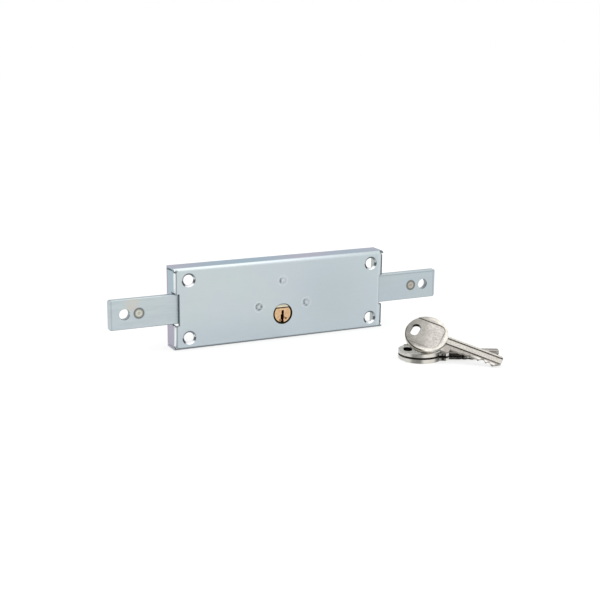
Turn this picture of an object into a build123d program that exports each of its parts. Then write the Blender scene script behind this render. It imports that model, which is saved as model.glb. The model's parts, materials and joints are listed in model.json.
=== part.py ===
"""Rim lock for a roller shutter: folded case, two opposed flat bars, quarter-turn gear drive, keys.

Millimetres. +X runs to the right along the bars, +Y runs from the face towards the mounting
surface, +Z is up. The origin is the middle of the fixing holes, on the outside of the face.
"""
import os
from math import acos, ceil, cos, pi, radians, sin, sqrt, tan

from build123d import *

os.makedirs("parts", exist_ok=True)

# Case: one folded sheet, open at the back
CASE_W = 156.0
CASE_H = 55.0
CASE_D = 15.0
SHEET = 1.5
BEND_R = 2.5
FOLD_GAP = 0.35
RELIEF = 1.3

# Countersunk fixing holes in the corners of the face
HOLE_PITCH_X = 136.0
HOLE_PITCH_Z = 39.0
HOLE_R = 3.5
SINK_R = 4.65
SINK_ANGLE = 90.0

# Bars, and the slots they leave the case by
BAR_H = 20.0
BAR_T = 4.0
BAR_Z = 0.4
BAR_REACH = 44.1
BAR_CORNER_R = 1.5
BAR_EDGE = 0.4
BAR_PLAY = 0.1
SLOT_PLAY = 0.2
SLOT_DROP = 1.3
SLOT_REACH = 2.9

# Eye and riveted stud at the end of each bar
EYE_FROM_END = 10.3
EYE_R = 3.6
STUD_FROM_END = 20.1
STUD_R = 3.45
STUD_PLAY = 0.03
PEG_R = 4.6
PEG_L = 5.4

# Quarter-turn drive: a gear on the plug between two racks
TEETH = 16
MODULE = 1.5
PRESSURE = 20.0
ADDENDUM = 0.9
DEDENDUM = 1.15
BACKLASH = 0.14
KEY_TURN = 90.0
LEAD_TEETH = 2
GEAR_PLAY = 0.15
NOSE_FIT = 0.05
TONGUE_PLAY = 0.15
TONGUE_GAP = 0.35
STOP_GAP = 0.45
ARM_PLAY = 0.1
LEG_W = 12.2
LEG_GAP = 1.2
TAIL_GAP = 2.3

# Plug and the round body it turns in
PLUG_RISE = 17.5
FACE_HOLE_R = 7.05
NOSE_R = 6.5
NOSE_FLAT = 4.1
NOSE_RECESS = 0.6
NOSE_CHAMFER = 0.4
COLLAR_PLAY = 0.1
PLUG_R = 6.2
PLUG_PLAY = 0.06
BODY_R = 12.0
BODY_RISE = 3.5
CLIP_T = 0.8
CLIP_R = 7.9
CLIP_GROOVE_R = 5.1
CLIP_MOUTH = 7.0
TAIL_LIP = 1.3
AXIAL_PLAY = 0.1

# Keyway, measured from the middle of the plug: it takes the key blade's section with some play
KEYWAY_TOP = 2.4
KEYWAY_SHIFT = 0.15
KEYWAY_PLAY = 0.08
PIN_HOLE_DROP = 2.0

# Pins and springs
PIN_COUNT = 5
PIN_PITCH = 4.3
FIRST_PIN = 2.0
AFTER_LAST_PIN = 6.8
PIN_R = 1.4
PIN_PLAY = 0.06
DRIVER_L = 3.4
SPRING_WIRE_R = 0.18
SPRING_TURNS = 3
COIL_STEPS = 6
STRIP_W = 4.4
STRIP_T = 0.8
STRIP_SINK = 0.3

# Posts staked in the face and riveted over the back plate
POST_R = 2.7
SPIGOT_R = 2.0
STAKE_PLAY = 0.02
POST_X = 17.8
POST_RISE = 6.5
BACK_T = 1.5
BACK_HALF_W = 24.5
BACK_BASE_GAP = 1.0
BACK_EAR_W = 6.0
BACK_SHOULDER = 6.5
BACK_CORNER = 2.0
BACK_RIM = 1.8

# Countersunk screws that hold the cylinder body to the back plate
BODY_SCREW_R = 1.25
BODY_SCREW_HEAD_R = 2.3
BODY_SCREW_L = 8.0
BODY_SCREW_SINK = 90.0
BODY_SCREW_X = 9.4
BODY_SCREW_RISE = 4.5
DRIVE_SLOT_W = 0.7

# Keys, all cut alike
BOW_R = 14.0
BOW_T = 3.0
PANEL_SINK = 0.35
PANEL_HALF_H = 10.0
PANEL_END = 10.4
PANEL_CORNER_R = 5.0
BOW_EYE_X = 7.9
BOW_EYE_W = 9.4
BOW_EYE_H = 5.4
SHOULDER_X = 18.1
SHOULDER_DROP = 7.6
SHOULDER_CUT = 1.2
BLADE_W = 8.6
BLADE_T = 2.2
BLADE_LENGTH = 33.1
TIP_L = 4.2
TIP_RISE = 3.1
TIP_CORNER_R = 1.5
CUT_DEPTHS = (0.6, 1.1, 0.9, 2.1, 1.6)
CUT_FLAT = 1.0
CUT_ANGLE = 45.0
KEY_GAP = 0.1

# Milling of the blade: a step that thins the side of the cuts, and a groove near the back
STEP_Y = -1.4
STEP_D = 0.65
GROOVE_Y = 2.5
GROOVE_W = 1.1
GROOVE_D = 0.6
BACK_GROOVE_D = 0.3

# Where the keys lie, on the level of the case's lower edge
FLAT_KEYS_AT = (61.4, -79.2)
FLAT_KEYS_HEADING = -26.5
LEANING_KEY_AT = (64.2, -82.3)
LEANING_KEY_HEADING = -47.8
LEANING_KEY_DROP = 14.7
LEANING_KEY_ROLL = 34.5

# Worked out from the sizes above
HALF_W = CASE_W / 2
HALF_H = CASE_H / 2
FLOOR = -HALF_H
PLUG_Z = FLOOR + PLUG_RISE
BAR_Y = SHEET + BAR_PLAY
BAR_BACK = BAR_Y + BAR_T
BACK_Y = BAR_BACK + GEAR_PLAY
BODY_Y = BACK_Y + BACK_T
BODY_L = FIRST_PIN + (PIN_COUNT - 1) * PIN_PITCH + AFTER_LAST_PIN
BODY_END = BODY_Y + BODY_L
BODY_Z = PLUG_Z + BODY_RISE
BODY_TOP = BODY_Z + BODY_R
CLIP_Y = BODY_END + AXIAL_PLAY
PLUG_END = CLIP_Y + CLIP_T + TAIL_LIP
BAR_TOP = BAR_Z + BAR_H / 2
BAR_BOTTOM = BAR_Z - BAR_H / 2
BAR_END = HALF_W + BAR_REACH
STUD_X = BAR_END - STUD_FROM_END
EYE_X = BAR_END - EYE_FROM_END
TOP_POST_Z = BAR_TOP + BAR_PLAY + POST_R
POST_Z = PLUG_Z + POST_RISE
STRIP_TOP = BODY_TOP - STRIP_SINK
CHAMBER_TOP = STRIP_TOP - STRIP_T

# Drive geometry
PITCH_R = TEETH * MODULE / 2
BASE_R = PITCH_R * cos(radians(PRESSURE))
TIP_R = PITCH_R + ADDENDUM * MODULE
ROOT_R = PITCH_R - DEDENDUM * MODULE
TOOTH_STEP = pi * MODULE
TRAVEL = radians(KEY_TURN) * PITCH_R
TURN_TEETH = ceil(TEETH * KEY_TURN / 360)
UPPER_TIPS = PLUG_Z + PITCH_R - ADDENDUM * MODULE
UPPER_ROOTS = PLUG_Z + PITCH_R + DEDENDUM * MODULE
LOWER_TIPS = PLUG_Z - PITCH_R + ADDENDUM * MODULE
LOWER_ROOTS = PLUG_Z - PITCH_R - DEDENDUM * MODULE
BEND_INNER_R = BEND_R - SHEET
ARM_BOTTOM = FLOOR + BEND_R - sqrt(BAR_PLAY * (2 * BEND_INNER_R - BAR_PLAY)) + ARM_PLAY
RACK_NEAR = LEAD_TEETH * TOOTH_STEP
RACK_FAR = (TURN_TEETH + LEAD_TEETH + 0.5) * TOOTH_STEP
BAR_STEP = POST_X + POST_R + TRAVEL + STOP_GAP
RIGHT_SHOULDER = RACK_NEAR + 2 * TRAVEL + TAIL_GAP
POSTS = {"top_post": (0, TOP_POST_Z), "left_post": (-POST_X, POST_Z), "right_post": (POST_X, POST_Z)}


def at_depth(y):
    """Plane of the face moved back by y: sketches on it have X to the right and Z up."""
    return Plane.XZ.offset(-y)


def involute_angle(radius):
    """Angle by which an involute from the base circle has turned at this radius."""
    pressure = acos(BASE_R / radius)
    return tan(pressure) - pressure


def half_tooth(radius):
    """Half of a tooth's angle at this radius, in radians."""
    at_pitch = pi / (2 * TEETH)
    return at_pitch + involute_angle(PITCH_R) - involute_angle(max(radius, BASE_R))


def on_flank(radius, side):
    """Point on the given side of a tooth that points along +X, straight below the base circle."""
    angle = side * half_tooth(radius)
    return (radius * cos(angle), radius * sin(angle))


def blade_section(past_back):
    """Corners of a key blade's section: X across it with the cuts at -X, Y out of its front."""
    half = BLADE_T / 2
    groove = GROOVE_Y - GROOVE_W / 2
    groove_end = GROOVE_Y + GROOVE_W / 2
    back = BLADE_W / 2 + past_back
    return [
        (-BLADE_W / 2, -half),
        (groove, -half),
        (groove, -half + BACK_GROOVE_D),
        (groove_end, -half + BACK_GROOVE_D),
        (groove_end, -half),
        (back, -half),
        (back, half),
        (groove_end, half),
        (groove_end, half - GROOVE_D),
        (groove, half - GROOVE_D),
        (groove, half),
        (STEP_Y, half),
        (STEP_Y, half - STEP_D),
        (-BLADE_W / 2, half - STEP_D),
    ]


# Case
with BuildPart() as case:
    with BuildSketch(Plane.YZ.offset(-HALF_W)):
        with BuildLine():
            FilletPolyline((CASE_D, HALF_H), (0, HALF_H), (0, -HALF_H), (CASE_D, -HALF_H), radius=BEND_R)
            offset(amount=SHEET, side=Side.LEFT)
        make_face()
    extrude(amount=CASE_W)

    # The face's ends make way for the side folds
    with Locations((HALF_W, 0, 0), (-HALF_W, 0, 0)):
        Box(
            2 * BEND_R,
            2 * BEND_R,
            CASE_H - 2 * SHEET,
            mode=Mode.SUBTRACT,
        )

    # Side flanges, folded back between the top and bottom flanges
    for side in (1, -1):
        inner = side * (HALF_W - 2 * BEND_R)
        outer = side * HALF_W
        hand = Side.RIGHT if side < 0 else Side.LEFT
        with BuildSketch(Plane.XY.offset(-HALF_H + SHEET + FOLD_GAP)):
            with BuildLine():
                FilletPolyline((inner, 0), (outer, 0), (outer, CASE_D), radius=BEND_R)
                offset(amount=SHEET, side=hand)
            make_face()
        extrude(amount=CASE_H - 2 * SHEET - 2 * FOLD_GAP)

    # Corner reliefs where two folds meet
    for x in (-HALF_W, HALF_W):
        for z in (-HALF_H + SHEET, HALF_H - SHEET):
            toward = -1 if z > 0 else 1
            with Locations((x, 0, z + toward * RELIEF / 2)):
                Box(2 * RELIEF, 2 * (BEND_R + FOLD_GAP), RELIEF, mode=Mode.SUBTRACT)

    # Slots for the bars, cut round the side folds
    with Locations((HALF_W, 0, BAR_BOTTOM - SLOT_DROP), (-HALF_W, 0, BAR_BOTTOM - SLOT_DROP)):
        Box(
            2 * SLOT_REACH,
            2 * (BAR_BACK + SLOT_PLAY),
            BAR_H + SLOT_DROP + SLOT_PLAY,
            align=(Align.CENTER, Align.CENTER, Align.MIN),
            mode=Mode.SUBTRACT,
        )

    with Locations(Plane.XZ):
        with GridLocations(HOLE_PITCH_X, HOLE_PITCH_Z, 2, 2):
            CounterSinkHole(HOLE_R, SINK_R, depth=SHEET, counter_sink_angle=SINK_ANGLE)
        with Locations((0, PLUG_Z)):
            Hole(FACE_HOLE_R, depth=SHEET)
        with Locations(*POSTS.values()):
            Hole(SPIGOT_R + STAKE_PLAY, depth=SHEET)
case.part.label = "case"
export_step(case.part, "parts/case.step")


# Posts: staked in the face, shouldered to space the back plate, and riveted flush behind it
for name, (x, z) in POSTS.items():
    with BuildPart() as post:
        with BuildSketch(at_depth(0)):
            with Locations((x, z)):
                Circle(SPIGOT_R)
        extrude(amount=-BODY_Y)
        with BuildSketch(at_depth(SHEET)):
            with Locations((x, z)):
                Circle(POST_R)
        extrude(amount=-(BACK_Y - SHEET))
    post.part.label = name
    export_step(post.part, f"parts/{name}.step")


# Back plate: keeps the bars and the gear against the face, carries the cylinder body
BACK_BOTTOM = FLOOR + SHEET + BACK_BASE_GAP
BACK_TOP = TOP_POST_Z + POST_R + BACK_RIM
BODY_SCREWS = [(-BODY_SCREW_X, PLUG_Z + BODY_SCREW_RISE), (BODY_SCREW_X, PLUG_Z + BODY_SCREW_RISE)]
with BuildPart() as back_plate:
    with BuildSketch(at_depth(BACK_Y)) as back_outline:
        with BuildLine():
            Polyline(
                (-BACK_HALF_W, BACK_BOTTOM),
                (BACK_HALF_W, BACK_BOTTOM),
                (BACK_HALF_W, POST_Z + BACK_SHOULDER),
                (BACK_EAR_W, BACK_TOP),
                (-BACK_EAR_W, BACK_TOP),
                (-BACK_HALF_W, POST_Z + BACK_SHOULDER),
                close=True,
            )
        make_face()
        chamfer(back_outline.vertices(), BACK_CORNER)
    extrude(amount=-BACK_T)
    with Locations(at_depth(BACK_Y)):
        with Locations((0, PLUG_Z)):
            Hole(NOSE_R + COLLAR_PLAY, depth=BACK_T)
        with Locations(*POSTS.values()):
            Hole(SPIGOT_R + STAKE_PLAY, depth=BACK_T)
        with Locations(*BODY_SCREWS):
            CounterSinkHole(
                BODY_SCREW_R + STAKE_PLAY,
                BODY_SCREW_HEAD_R + STAKE_PLAY,
                depth=BACK_T,
                counter_sink_angle=BODY_SCREW_SINK,
            )
back_plate.part.label = "back_plate"
export_step(back_plate.part, "parts/back_plate.step")


# Cylinder body: round bar with the plug low in it and the pin chambers above
PIN_YS = [BODY_Y + FIRST_PIN + i * PIN_PITCH for i in range(PIN_COUNT)]
with BuildPart() as cylinder_body:
    with BuildSketch(at_depth(BODY_Y)):
        with Locations((0, BODY_Z)):
            Circle(BODY_R)
    extrude(amount=-BODY_L)
    with BuildSketch(at_depth(BODY_Y)):
        with Locations((0, PLUG_Z)):
            Circle(PLUG_R + PLUG_PLAY)
    extrude(amount=-BODY_L, mode=Mode.SUBTRACT)
    with BuildSketch(Plane.XY.offset(PLUG_Z)):
        with Locations(*[(0, y) for y in PIN_YS]):
            Circle(PIN_R + PIN_PLAY)
    extrude(amount=CHAMBER_TOP - PLUG_Z, mode=Mode.SUBTRACT)
    with BuildSketch(at_depth(BODY_Y)):
        with Locations((0, CHAMBER_TOP)):
            Rectangle(STRIP_W, STRIP_W, align=(Align.CENTER, Align.MIN))
    extrude(amount=-BODY_L, mode=Mode.SUBTRACT)
    with Locations(at_depth(BODY_Y)):
        with Locations(*BODY_SCREWS):
            Hole(BODY_SCREW_R + STAKE_PLAY, depth=BODY_SCREW_L - BACK_T)
cylinder_body.part.label = "cylinder_body"
export_step(cylinder_body.part, "parts/cylinder_body.step")


# Cylinder screws: heads flush with the front of the back plate
HEAD_L = (BODY_SCREW_HEAD_R - BODY_SCREW_R) / tan(radians(BODY_SCREW_SINK / 2))
with BuildPart() as cylinder_screws:
    for x, z in BODY_SCREWS:
        with BuildSketch(at_depth(BACK_Y)):
            with Locations((x, z)):
                Circle(BODY_SCREW_HEAD_R)
        extrude(amount=-HEAD_L, taper=BODY_SCREW_SINK / 2)
        with BuildSketch(at_depth(BACK_Y)):
            with Locations((x, z)):
                Circle(BODY_SCREW_R)
        extrude(amount=-(BODY_SCREW_L - STAKE_PLAY))
        with BuildSketch(at_depth(BACK_Y)):
            with Locations((x, z)):
                Rectangle(2 * BODY_SCREW_HEAD_R, DRIVE_SLOT_W)
        extrude(amount=-DRIVE_SLOT_W, mode=Mode.SUBTRACT)
cylinder_screws.part.label = "cylinder_screws"
export_step(cylinder_screws.part, "parts/cylinder_screws.step")


# Strip that closes the pin chambers
with BuildPart() as chamber_strip:
    with BuildSketch(at_depth(BODY_Y)):
        with Locations((0, CHAMBER_TOP)):
            Rectangle(STRIP_W, STRIP_T, align=(Align.CENTER, Align.MIN))
    extrude(amount=-BODY_L)
chamber_strip.part.label = "chamber_strip"
export_step(chamber_strip.part, "parts/chamber_strip.step")


# Plug: D-shaped nose through the gear, collar through the back plate, barrel, grooved tail
NOSE_END = BACK_Y - AXIAL_PLAY
COLLAR_END = BODY_Y - AXIAL_PLAY
with BuildPart() as plug:
    with BuildSketch(at_depth(NOSE_RECESS)):
        with Locations((0, PLUG_Z)):
            Circle(NOSE_R)
        with Locations((0, PLUG_Z + NOSE_FLAT)):
            Rectangle(2 * NOSE_R, NOSE_R, align=(Align.CENTER, Align.MIN), mode=Mode.SUBTRACT)
    extrude(amount=-(NOSE_END - NOSE_RECESS))
    chamfer(plug.faces().sort_by(Axis.Y)[0].edges(), NOSE_CHAMFER)
    with BuildSketch(at_depth(NOSE_END)):
        with Locations((0, PLUG_Z)):
            Circle(NOSE_R)
    extrude(amount=-(COLLAR_END - NOSE_END))
    with BuildSketch(at_depth(COLLAR_END)):
        with Locations((0, PLUG_Z)):
            Circle(PLUG_R)
    extrude(amount=-(PLUG_END - COLLAR_END))
    with BuildSketch(at_depth(CLIP_Y)):
        with Locations((0, PLUG_Z)):
            Circle(PLUG_R + PLUG_PLAY)
            Circle(CLIP_GROOVE_R, mode=Mode.SUBTRACT)
    extrude(amount=-(CLIP_T + AXIAL_PLAY / 2), mode=Mode.SUBTRACT)
    with BuildSketch(Plane.XY.offset(PLUG_Z - PIN_HOLE_DROP)):
        with Locations(*[(0, y) for y in PIN_YS]):
            Circle(PIN_R + PIN_PLAY)
    extrude(amount=PLUG_R + PIN_HOLE_DROP, mode=Mode.SUBTRACT)

    # Keyway, broached from end to end and open below
    middle = (-KEYWAY_SHIFT, NOSE_RECESS, PLUG_Z + KEYWAY_TOP - KEYWAY_PLAY - BLADE_W / 2)
    with BuildSketch(Plane(origin=middle, x_dir=(0, 0, -1), z_dir=(0, 1, 0))):
        with BuildLine():
            Polyline(*blade_section(NOSE_R), close=True)
        make_face()
        offset(amount=KEYWAY_PLAY, kind=Kind.INTERSECTION)
    extrude(amount=PLUG_END - NOSE_RECESS, mode=Mode.SUBTRACT)
plug.part.label = "plug"
export_step(plug.part, "parts/plug.step")


# Spring clip in the plug's tail groove, its mouth down like the keyway
with BuildPart() as plug_clip:
    with BuildSketch(at_depth(CLIP_Y)):
        with Locations((0, PLUG_Z)):
            Circle(CLIP_R)
            Circle(CLIP_GROOVE_R + STAKE_PLAY, mode=Mode.SUBTRACT)
            Rectangle(CLIP_MOUTH, 2 * CLIP_R, align=(Align.CENTER, Align.MAX), mode=Mode.SUBTRACT)
    extrude(amount=-CLIP_T)
plug_clip.part.label = "plug_clip"
export_step(plug_clip.part, "parts/plug_clip.step")


# Gear: involute teeth, a D-shaped bore for the nose, and a tongue that fills the face hole
GEAR_Y = BAR_Y + GEAR_PLAY
GEAR_END = BAR_BACK - GEAR_PLAY
with BuildSketch() as gear_tooth:
    middle_r = (BASE_R + TIP_R) / 2
    with BuildLine():
        Polyline((0, 0), on_flank(ROOT_R, -1), on_flank(BASE_R, -1))
        ThreePointArc(on_flank(BASE_R, -1), on_flank(middle_r, -1), on_flank(TIP_R, -1))
        ThreePointArc(on_flank(TIP_R, -1), (TIP_R, 0), on_flank(TIP_R, 1))
        ThreePointArc(on_flank(TIP_R, 1), on_flank(middle_r, 1), on_flank(BASE_R, 1))
        Polyline(on_flank(BASE_R, 1), on_flank(ROOT_R, 1), (0, 0))
    make_face()
with BuildPart() as driver_gear:
    with BuildSketch(at_depth(GEAR_Y)):
        with Locations((0, PLUG_Z)):
            Circle(ROOT_R)
            with PolarLocations(0, TEETH, start_angle=90):
                add(gear_tooth.sketch)
    extrude(amount=-(GEAR_END - GEAR_Y))
    with BuildSketch(at_depth(GEAR_Y)):
        with Locations((0, PLUG_Z)):
            Circle(NOSE_R + NOSE_FIT)
        with Locations((0, PLUG_Z + NOSE_FLAT + NOSE_FIT)):
            Rectangle(2 * ROOT_R, ROOT_R, align=(Align.CENTER, Align.MIN), mode=Mode.SUBTRACT)
    extrude(amount=-(GEAR_END - GEAR_Y), mode=Mode.SUBTRACT)
    with BuildSketch(at_depth(NOSE_RECESS)):
        with Locations((0, PLUG_Z)):
            Circle(FACE_HOLE_R - TONGUE_PLAY)
        with Locations((0, PLUG_Z + NOSE_FLAT + TONGUE_GAP)):
            Rectangle(2 * FACE_HOLE_R, 2 * FACE_HOLE_R, align=(Align.CENTER, Align.MAX), mode=Mode.SUBTRACT)
    extrude(amount=-(GEAR_Y - NOSE_RECESS))
driver_gear.part.label = "driver_gear"
export_step(driver_gear.part, "parts/driver_gear.step")


# Pins at the shear line, as a cut key sets them, and springs of straight runs, to keep faces few
shear = PLUG_Z + sqrt(PLUG_R**2 - PIN_R**2) - PIN_PLAY / 2
driver_foot = PLUG_Z + PLUG_R + PIN_PLAY / 2
spring_foot = driver_foot + DRIVER_L + 2 * SPRING_WIRE_R
spring_rise = CHAMBER_TOP - 2 * SPRING_WIRE_R - spring_foot
coil_r = PIN_R - 2 * SPRING_WIRE_R


def coil_point(step, y):
    """Corner of the coil over the pin at y, counted from its foot."""
    turn = 2 * pi * step / COIL_STEPS
    rise = spring_rise * step / (SPRING_TURNS * COIL_STEPS)
    return (coil_r * cos(turn), y + coil_r * sin(turn), spring_foot + rise)


for i, (y, depth) in enumerate(zip(PIN_YS, CUT_DEPTHS), start=1):
    cut_floor = PLUG_Z + KEYWAY_TOP - KEYWAY_PLAY - depth
    with BuildPart() as key_pin:
        with BuildSketch(Plane.XY.offset(shear)):
            with Locations((0, y)):
                Circle(PIN_R)
        extrude(amount=cut_floor + PIN_PLAY - shear)
    key_pin.part.label = f"key_pin_{i}"
    export_step(key_pin.part, f"parts/key_pin_{i}.step")

    with BuildPart() as driver_pin:
        with BuildSketch(Plane.XY.offset(driver_foot)):
            with Locations((0, y)):
                Circle(PIN_R)
        extrude(amount=DRIVER_L)
    driver_pin.part.label = f"driver_pin_{i}"
    export_step(driver_pin.part, f"parts/driver_pin_{i}.step")

    with BuildPart() as pin_spring:
        with BuildLine():
            coil = Polyline(*[coil_point(step, y) for step in range(SPRING_TURNS * COIL_STEPS + 1)])
        with BuildSketch(Plane(origin=coil @ 0, z_dir=coil % 0)):
            Rectangle(2 * SPRING_WIRE_R, 2 * SPRING_WIRE_R)
        sweep(transition=Transition.RIGHT)
    pin_spring.part.label = f"pin_spring_{i}"
    export_step(pin_spring.part, f"parts/pin_spring_{i}.step")


def rack_spaces(tip_line, root_line, first, last):
    """Cut the spaces of a rack, from a line of tips to a line of roots, in the open sketch."""
    slope = tan(radians(PRESSURE))
    mouth = TOOTH_STEP / 2 + BACKLASH + 2 * ADDENDUM * MODULE * slope
    for k in range(first, last + 1):
        with Locations((k * TOOTH_STEP, tip_line)):
            Trapezoid(
                mouth,
                abs(root_line - tip_line),
                90 - PRESSURE,
                rotation=0 if root_line > tip_line else 180,
                align=(Align.CENTER, Align.MIN),
                mode=Mode.SUBTRACT,
            )


def bar_end_holes(side):
    """Cut the eye and the stud's hole in the open part, on the given side."""
    with Locations(at_depth(BAR_Y)):
        with Locations((side * EYE_X, BAR_Z)):
            Hole(EYE_R, depth=BAR_T)
        with Locations((side * STUD_X, BAR_Z)):
            Hole(STUD_R + STUD_PLAY, depth=BAR_T)


# Left bar: its tail is a rack above the gear
with BuildPart() as left_bar:
    with BuildSketch(at_depth(BAR_Y)) as left_outline:
        with BuildLine():
            Polyline(
                (-BAR_END, BAR_BOTTOM),
                (-BAR_STEP, BAR_BOTTOM),
                (-BAR_STEP, UPPER_ROOTS),
                (-RACK_FAR, UPPER_ROOTS),
                (-RACK_FAR, UPPER_TIPS),
                (RACK_NEAR, UPPER_TIPS),
                (RACK_NEAR, BAR_TOP),
                (-BAR_END, BAR_TOP),
                close=True,
            )
        make_face()
        rack_spaces(UPPER_TIPS, UPPER_ROOTS, -(TURN_TEETH + LEAD_TEETH), LEAD_TEETH)
        fillet(left_outline.vertices().group_by(Axis.X)[0], BAR_CORNER_R)
    extrude(amount=-BAR_T)
    chamfer(left_bar.edges().filter_by(Axis.Z).group_by(Axis.X)[0], BAR_EDGE)
    bar_end_holes(-1)
left_bar.part.label = "left_bar"
export_step(left_bar.part, "parts/left_bar.step")


# Right bar: a leg goes down past the gear to a rack below it
LEG_TOP = UPPER_TIPS - LEG_GAP
with BuildPart() as right_bar:
    with BuildSketch(at_depth(BAR_Y)) as right_outline:
        with BuildLine():
            Polyline(
                (BAR_END, BAR_BOTTOM),
                (BAR_STEP + LEG_W, BAR_BOTTOM),
                (BAR_STEP + LEG_W, ARM_BOTTOM),
                (-RACK_NEAR, ARM_BOTTOM),
                (-RACK_NEAR, LOWER_TIPS),
                (RACK_FAR, LOWER_TIPS),
                (RACK_FAR, LOWER_ROOTS),
                (BAR_STEP, LOWER_ROOTS),
                (BAR_STEP, LEG_TOP),
                (RIGHT_SHOULDER, LEG_TOP),
                (RIGHT_SHOULDER, BAR_TOP),
                (BAR_END, BAR_TOP),
                close=True,
            )
        make_face()
        rack_spaces(LOWER_TIPS, LOWER_ROOTS, -LEAD_TEETH, TURN_TEETH + LEAD_TEETH)
        fillet(right_outline.vertices().group_by(Axis.X)[-1], BAR_CORNER_R)
    extrude(amount=-BAR_T)
    chamfer(right_bar.edges().filter_by(Axis.Z).group_by(Axis.X)[-1], BAR_EDGE)
    bar_end_holes(1)
right_bar.part.label = "right_bar"
export_step(right_bar.part, "parts/right_bar.step")


# Studs: riveted flush in front, a stouter peg behind for the extension bar
for name, x in (("left_bar_stud", -STUD_X), ("right_bar_stud", STUD_X)):
    with BuildPart() as stud:
        with BuildSketch(at_depth(BAR_Y)):
            with Locations((x, BAR_Z)):
                Circle(STUD_R)
        extrude(amount=-BAR_T)
        with BuildSketch(at_depth(BAR_BACK)):
            with Locations((x, BAR_Z)):
                Circle(PEG_R)
        extrude(amount=-PEG_L)
    stud.part.label = name
    export_step(stud.part, f"parts/{name}.step")


# Key, lying flat with the middle of its bow on the origin and its blade along +X
TIP_X = SHOULDER_X + BLADE_LENGTH
BLADE_HALF = BLADE_W / 2
CUT_XS = [SHOULDER_X + y - NOSE_RECESS for y in PIN_YS]
with BuildPart() as key:
    with BuildSketch(Plane.XY.offset(-BOW_T / 2)):
        Circle(BOW_R)
    extrude(amount=BOW_T)

    # Blade, with its cuts and its bevelled tip
    with BuildSketch(Plane.YZ):
        with BuildLine():
            Polyline(*blade_section(0), close=True)
        make_face()
    extrude(amount=TIP_X)
    with BuildSketch(Plane.XY.offset(-BLADE_T / 2)):
        with BuildLine():
            Polyline(
                (TIP_X - TIP_L, -BLADE_HALF),
                (TIP_X, -BLADE_HALF),
                (TIP_X, -BLADE_HALF + TIP_RISE),
                close=True,
            )
        make_face()
        for x, depth in zip(CUT_XS, CUT_DEPTHS):
            mouth = CUT_FLAT + 2 * depth / tan(radians(CUT_ANGLE))
            with Locations((x, -BLADE_HALF)):
                Trapezoid(mouth, depth, CUT_ANGLE, align=(Align.CENTER, Align.MIN))
    extrude(amount=BLADE_T, mode=Mode.SUBTRACT)
    fillet(key.edges().filter_by(Axis.Z).group_by(Axis.X)[-1].sort_by(Axis.Y)[-1], TIP_CORNER_R)

    # Wing that ends in the shoulder, as thin as the side of the cuts
    with BuildSketch(Plane.XY.offset(-BLADE_T / 2)):
        with BuildLine():
            Polyline(
                (0, STEP_Y),
                (SHOULDER_X, STEP_Y),
                (SHOULDER_X, -SHOULDER_DROP + SHOULDER_CUT),
                (SHOULDER_X - SHOULDER_CUT, -SHOULDER_DROP),
                (0, -SHOULDER_DROP),
                close=True,
            )
        make_face()
    extrude(amount=BLADE_T - STEP_D)

    # Sunk panels and the eye
    for side in (1, -1):
        with BuildSketch(Plane.XY.offset(side * BOW_T / 2)) as panel:
            with Locations((PANEL_END, 0)):
                Rectangle(2 * BOW_R, 2 * PANEL_HALF_H, align=(Align.MAX, Align.CENTER))
            fillet(panel.vertices().group_by(Axis.X)[-1], PANEL_CORNER_R)
        extrude(amount=-side * PANEL_SINK, mode=Mode.SUBTRACT)
    with BuildSketch(Plane.XY.offset(-BOW_T / 2)):
        with Locations((-BOW_EYE_X, 0)):
            SlotOverall(BOW_EYE_W, BOW_EYE_H, rotation=90)
    extrude(amount=BOW_T, mode=Mode.SUBTRACT)

# Two keys lie flat, one on the other, and the third leans on their bows with its tip on the floor
STACK_TOP = FLOOR + 2 * BOW_T + KEY_GAP
LEAN = acos(cos(radians(LEANING_KEY_DROP)) * cos(radians(LEANING_KEY_ROLL)))
LEANING_KEY_Z = STACK_TOP + KEY_GAP + BOW_R * sin(LEAN) + BOW_T / 2 * cos(LEAN)
KEY_PLACES = [
    Location((*FLAT_KEYS_AT, FLOOR + BOW_T / 2), (0, 0, FLAT_KEYS_HEADING)),
    Location((*FLAT_KEYS_AT, STACK_TOP - BOW_T / 2), (0, 0, FLAT_KEYS_HEADING)),
    Location((*LEANING_KEY_AT, LEANING_KEY_Z), (0, 0, LEANING_KEY_HEADING))
    * Location((0, 0, 0), (0, LEANING_KEY_DROP, 0))
    * Location((0, 0, 0), (LEANING_KEY_ROLL, 0, 0)),
]
for i, place in enumerate(KEY_PLACES, start=1):
    copy = key.part.moved(place)
    copy.label = f"key_{i}"
    export_step(copy, f"parts/key_{i}.step")
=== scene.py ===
"""Finishes, light and camera for the shutter rim lock and its keys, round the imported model."""
import json
from math import cos, pi, radians, sin
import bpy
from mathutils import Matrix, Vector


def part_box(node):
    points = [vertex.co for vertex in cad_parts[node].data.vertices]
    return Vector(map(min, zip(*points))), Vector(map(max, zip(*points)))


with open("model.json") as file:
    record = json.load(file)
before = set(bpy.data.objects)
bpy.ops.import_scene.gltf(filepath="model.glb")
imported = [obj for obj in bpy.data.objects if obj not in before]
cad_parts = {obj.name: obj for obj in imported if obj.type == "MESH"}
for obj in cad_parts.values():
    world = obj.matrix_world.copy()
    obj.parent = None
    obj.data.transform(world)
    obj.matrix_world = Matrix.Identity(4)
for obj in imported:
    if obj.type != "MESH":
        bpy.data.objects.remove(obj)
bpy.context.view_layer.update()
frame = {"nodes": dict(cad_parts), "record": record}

from types import SimpleNamespace

import bpy
from mathutils import Matrix, Vector

MM = 0.001

# Camera of the photograph, in metres and degrees
CAMERA_AT = (-0.3451, -0.7338, 0.1959)
CAMERA_YAW = 26.01
CAMERA_PITCH = 13.60
CAMERA_ROLL = 0.54
CAMERA_LENS = 73.47
CAMERA_NEAR = 0.01
CAMERA_FAR = 20.0
SENSOR = 36.0

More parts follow.
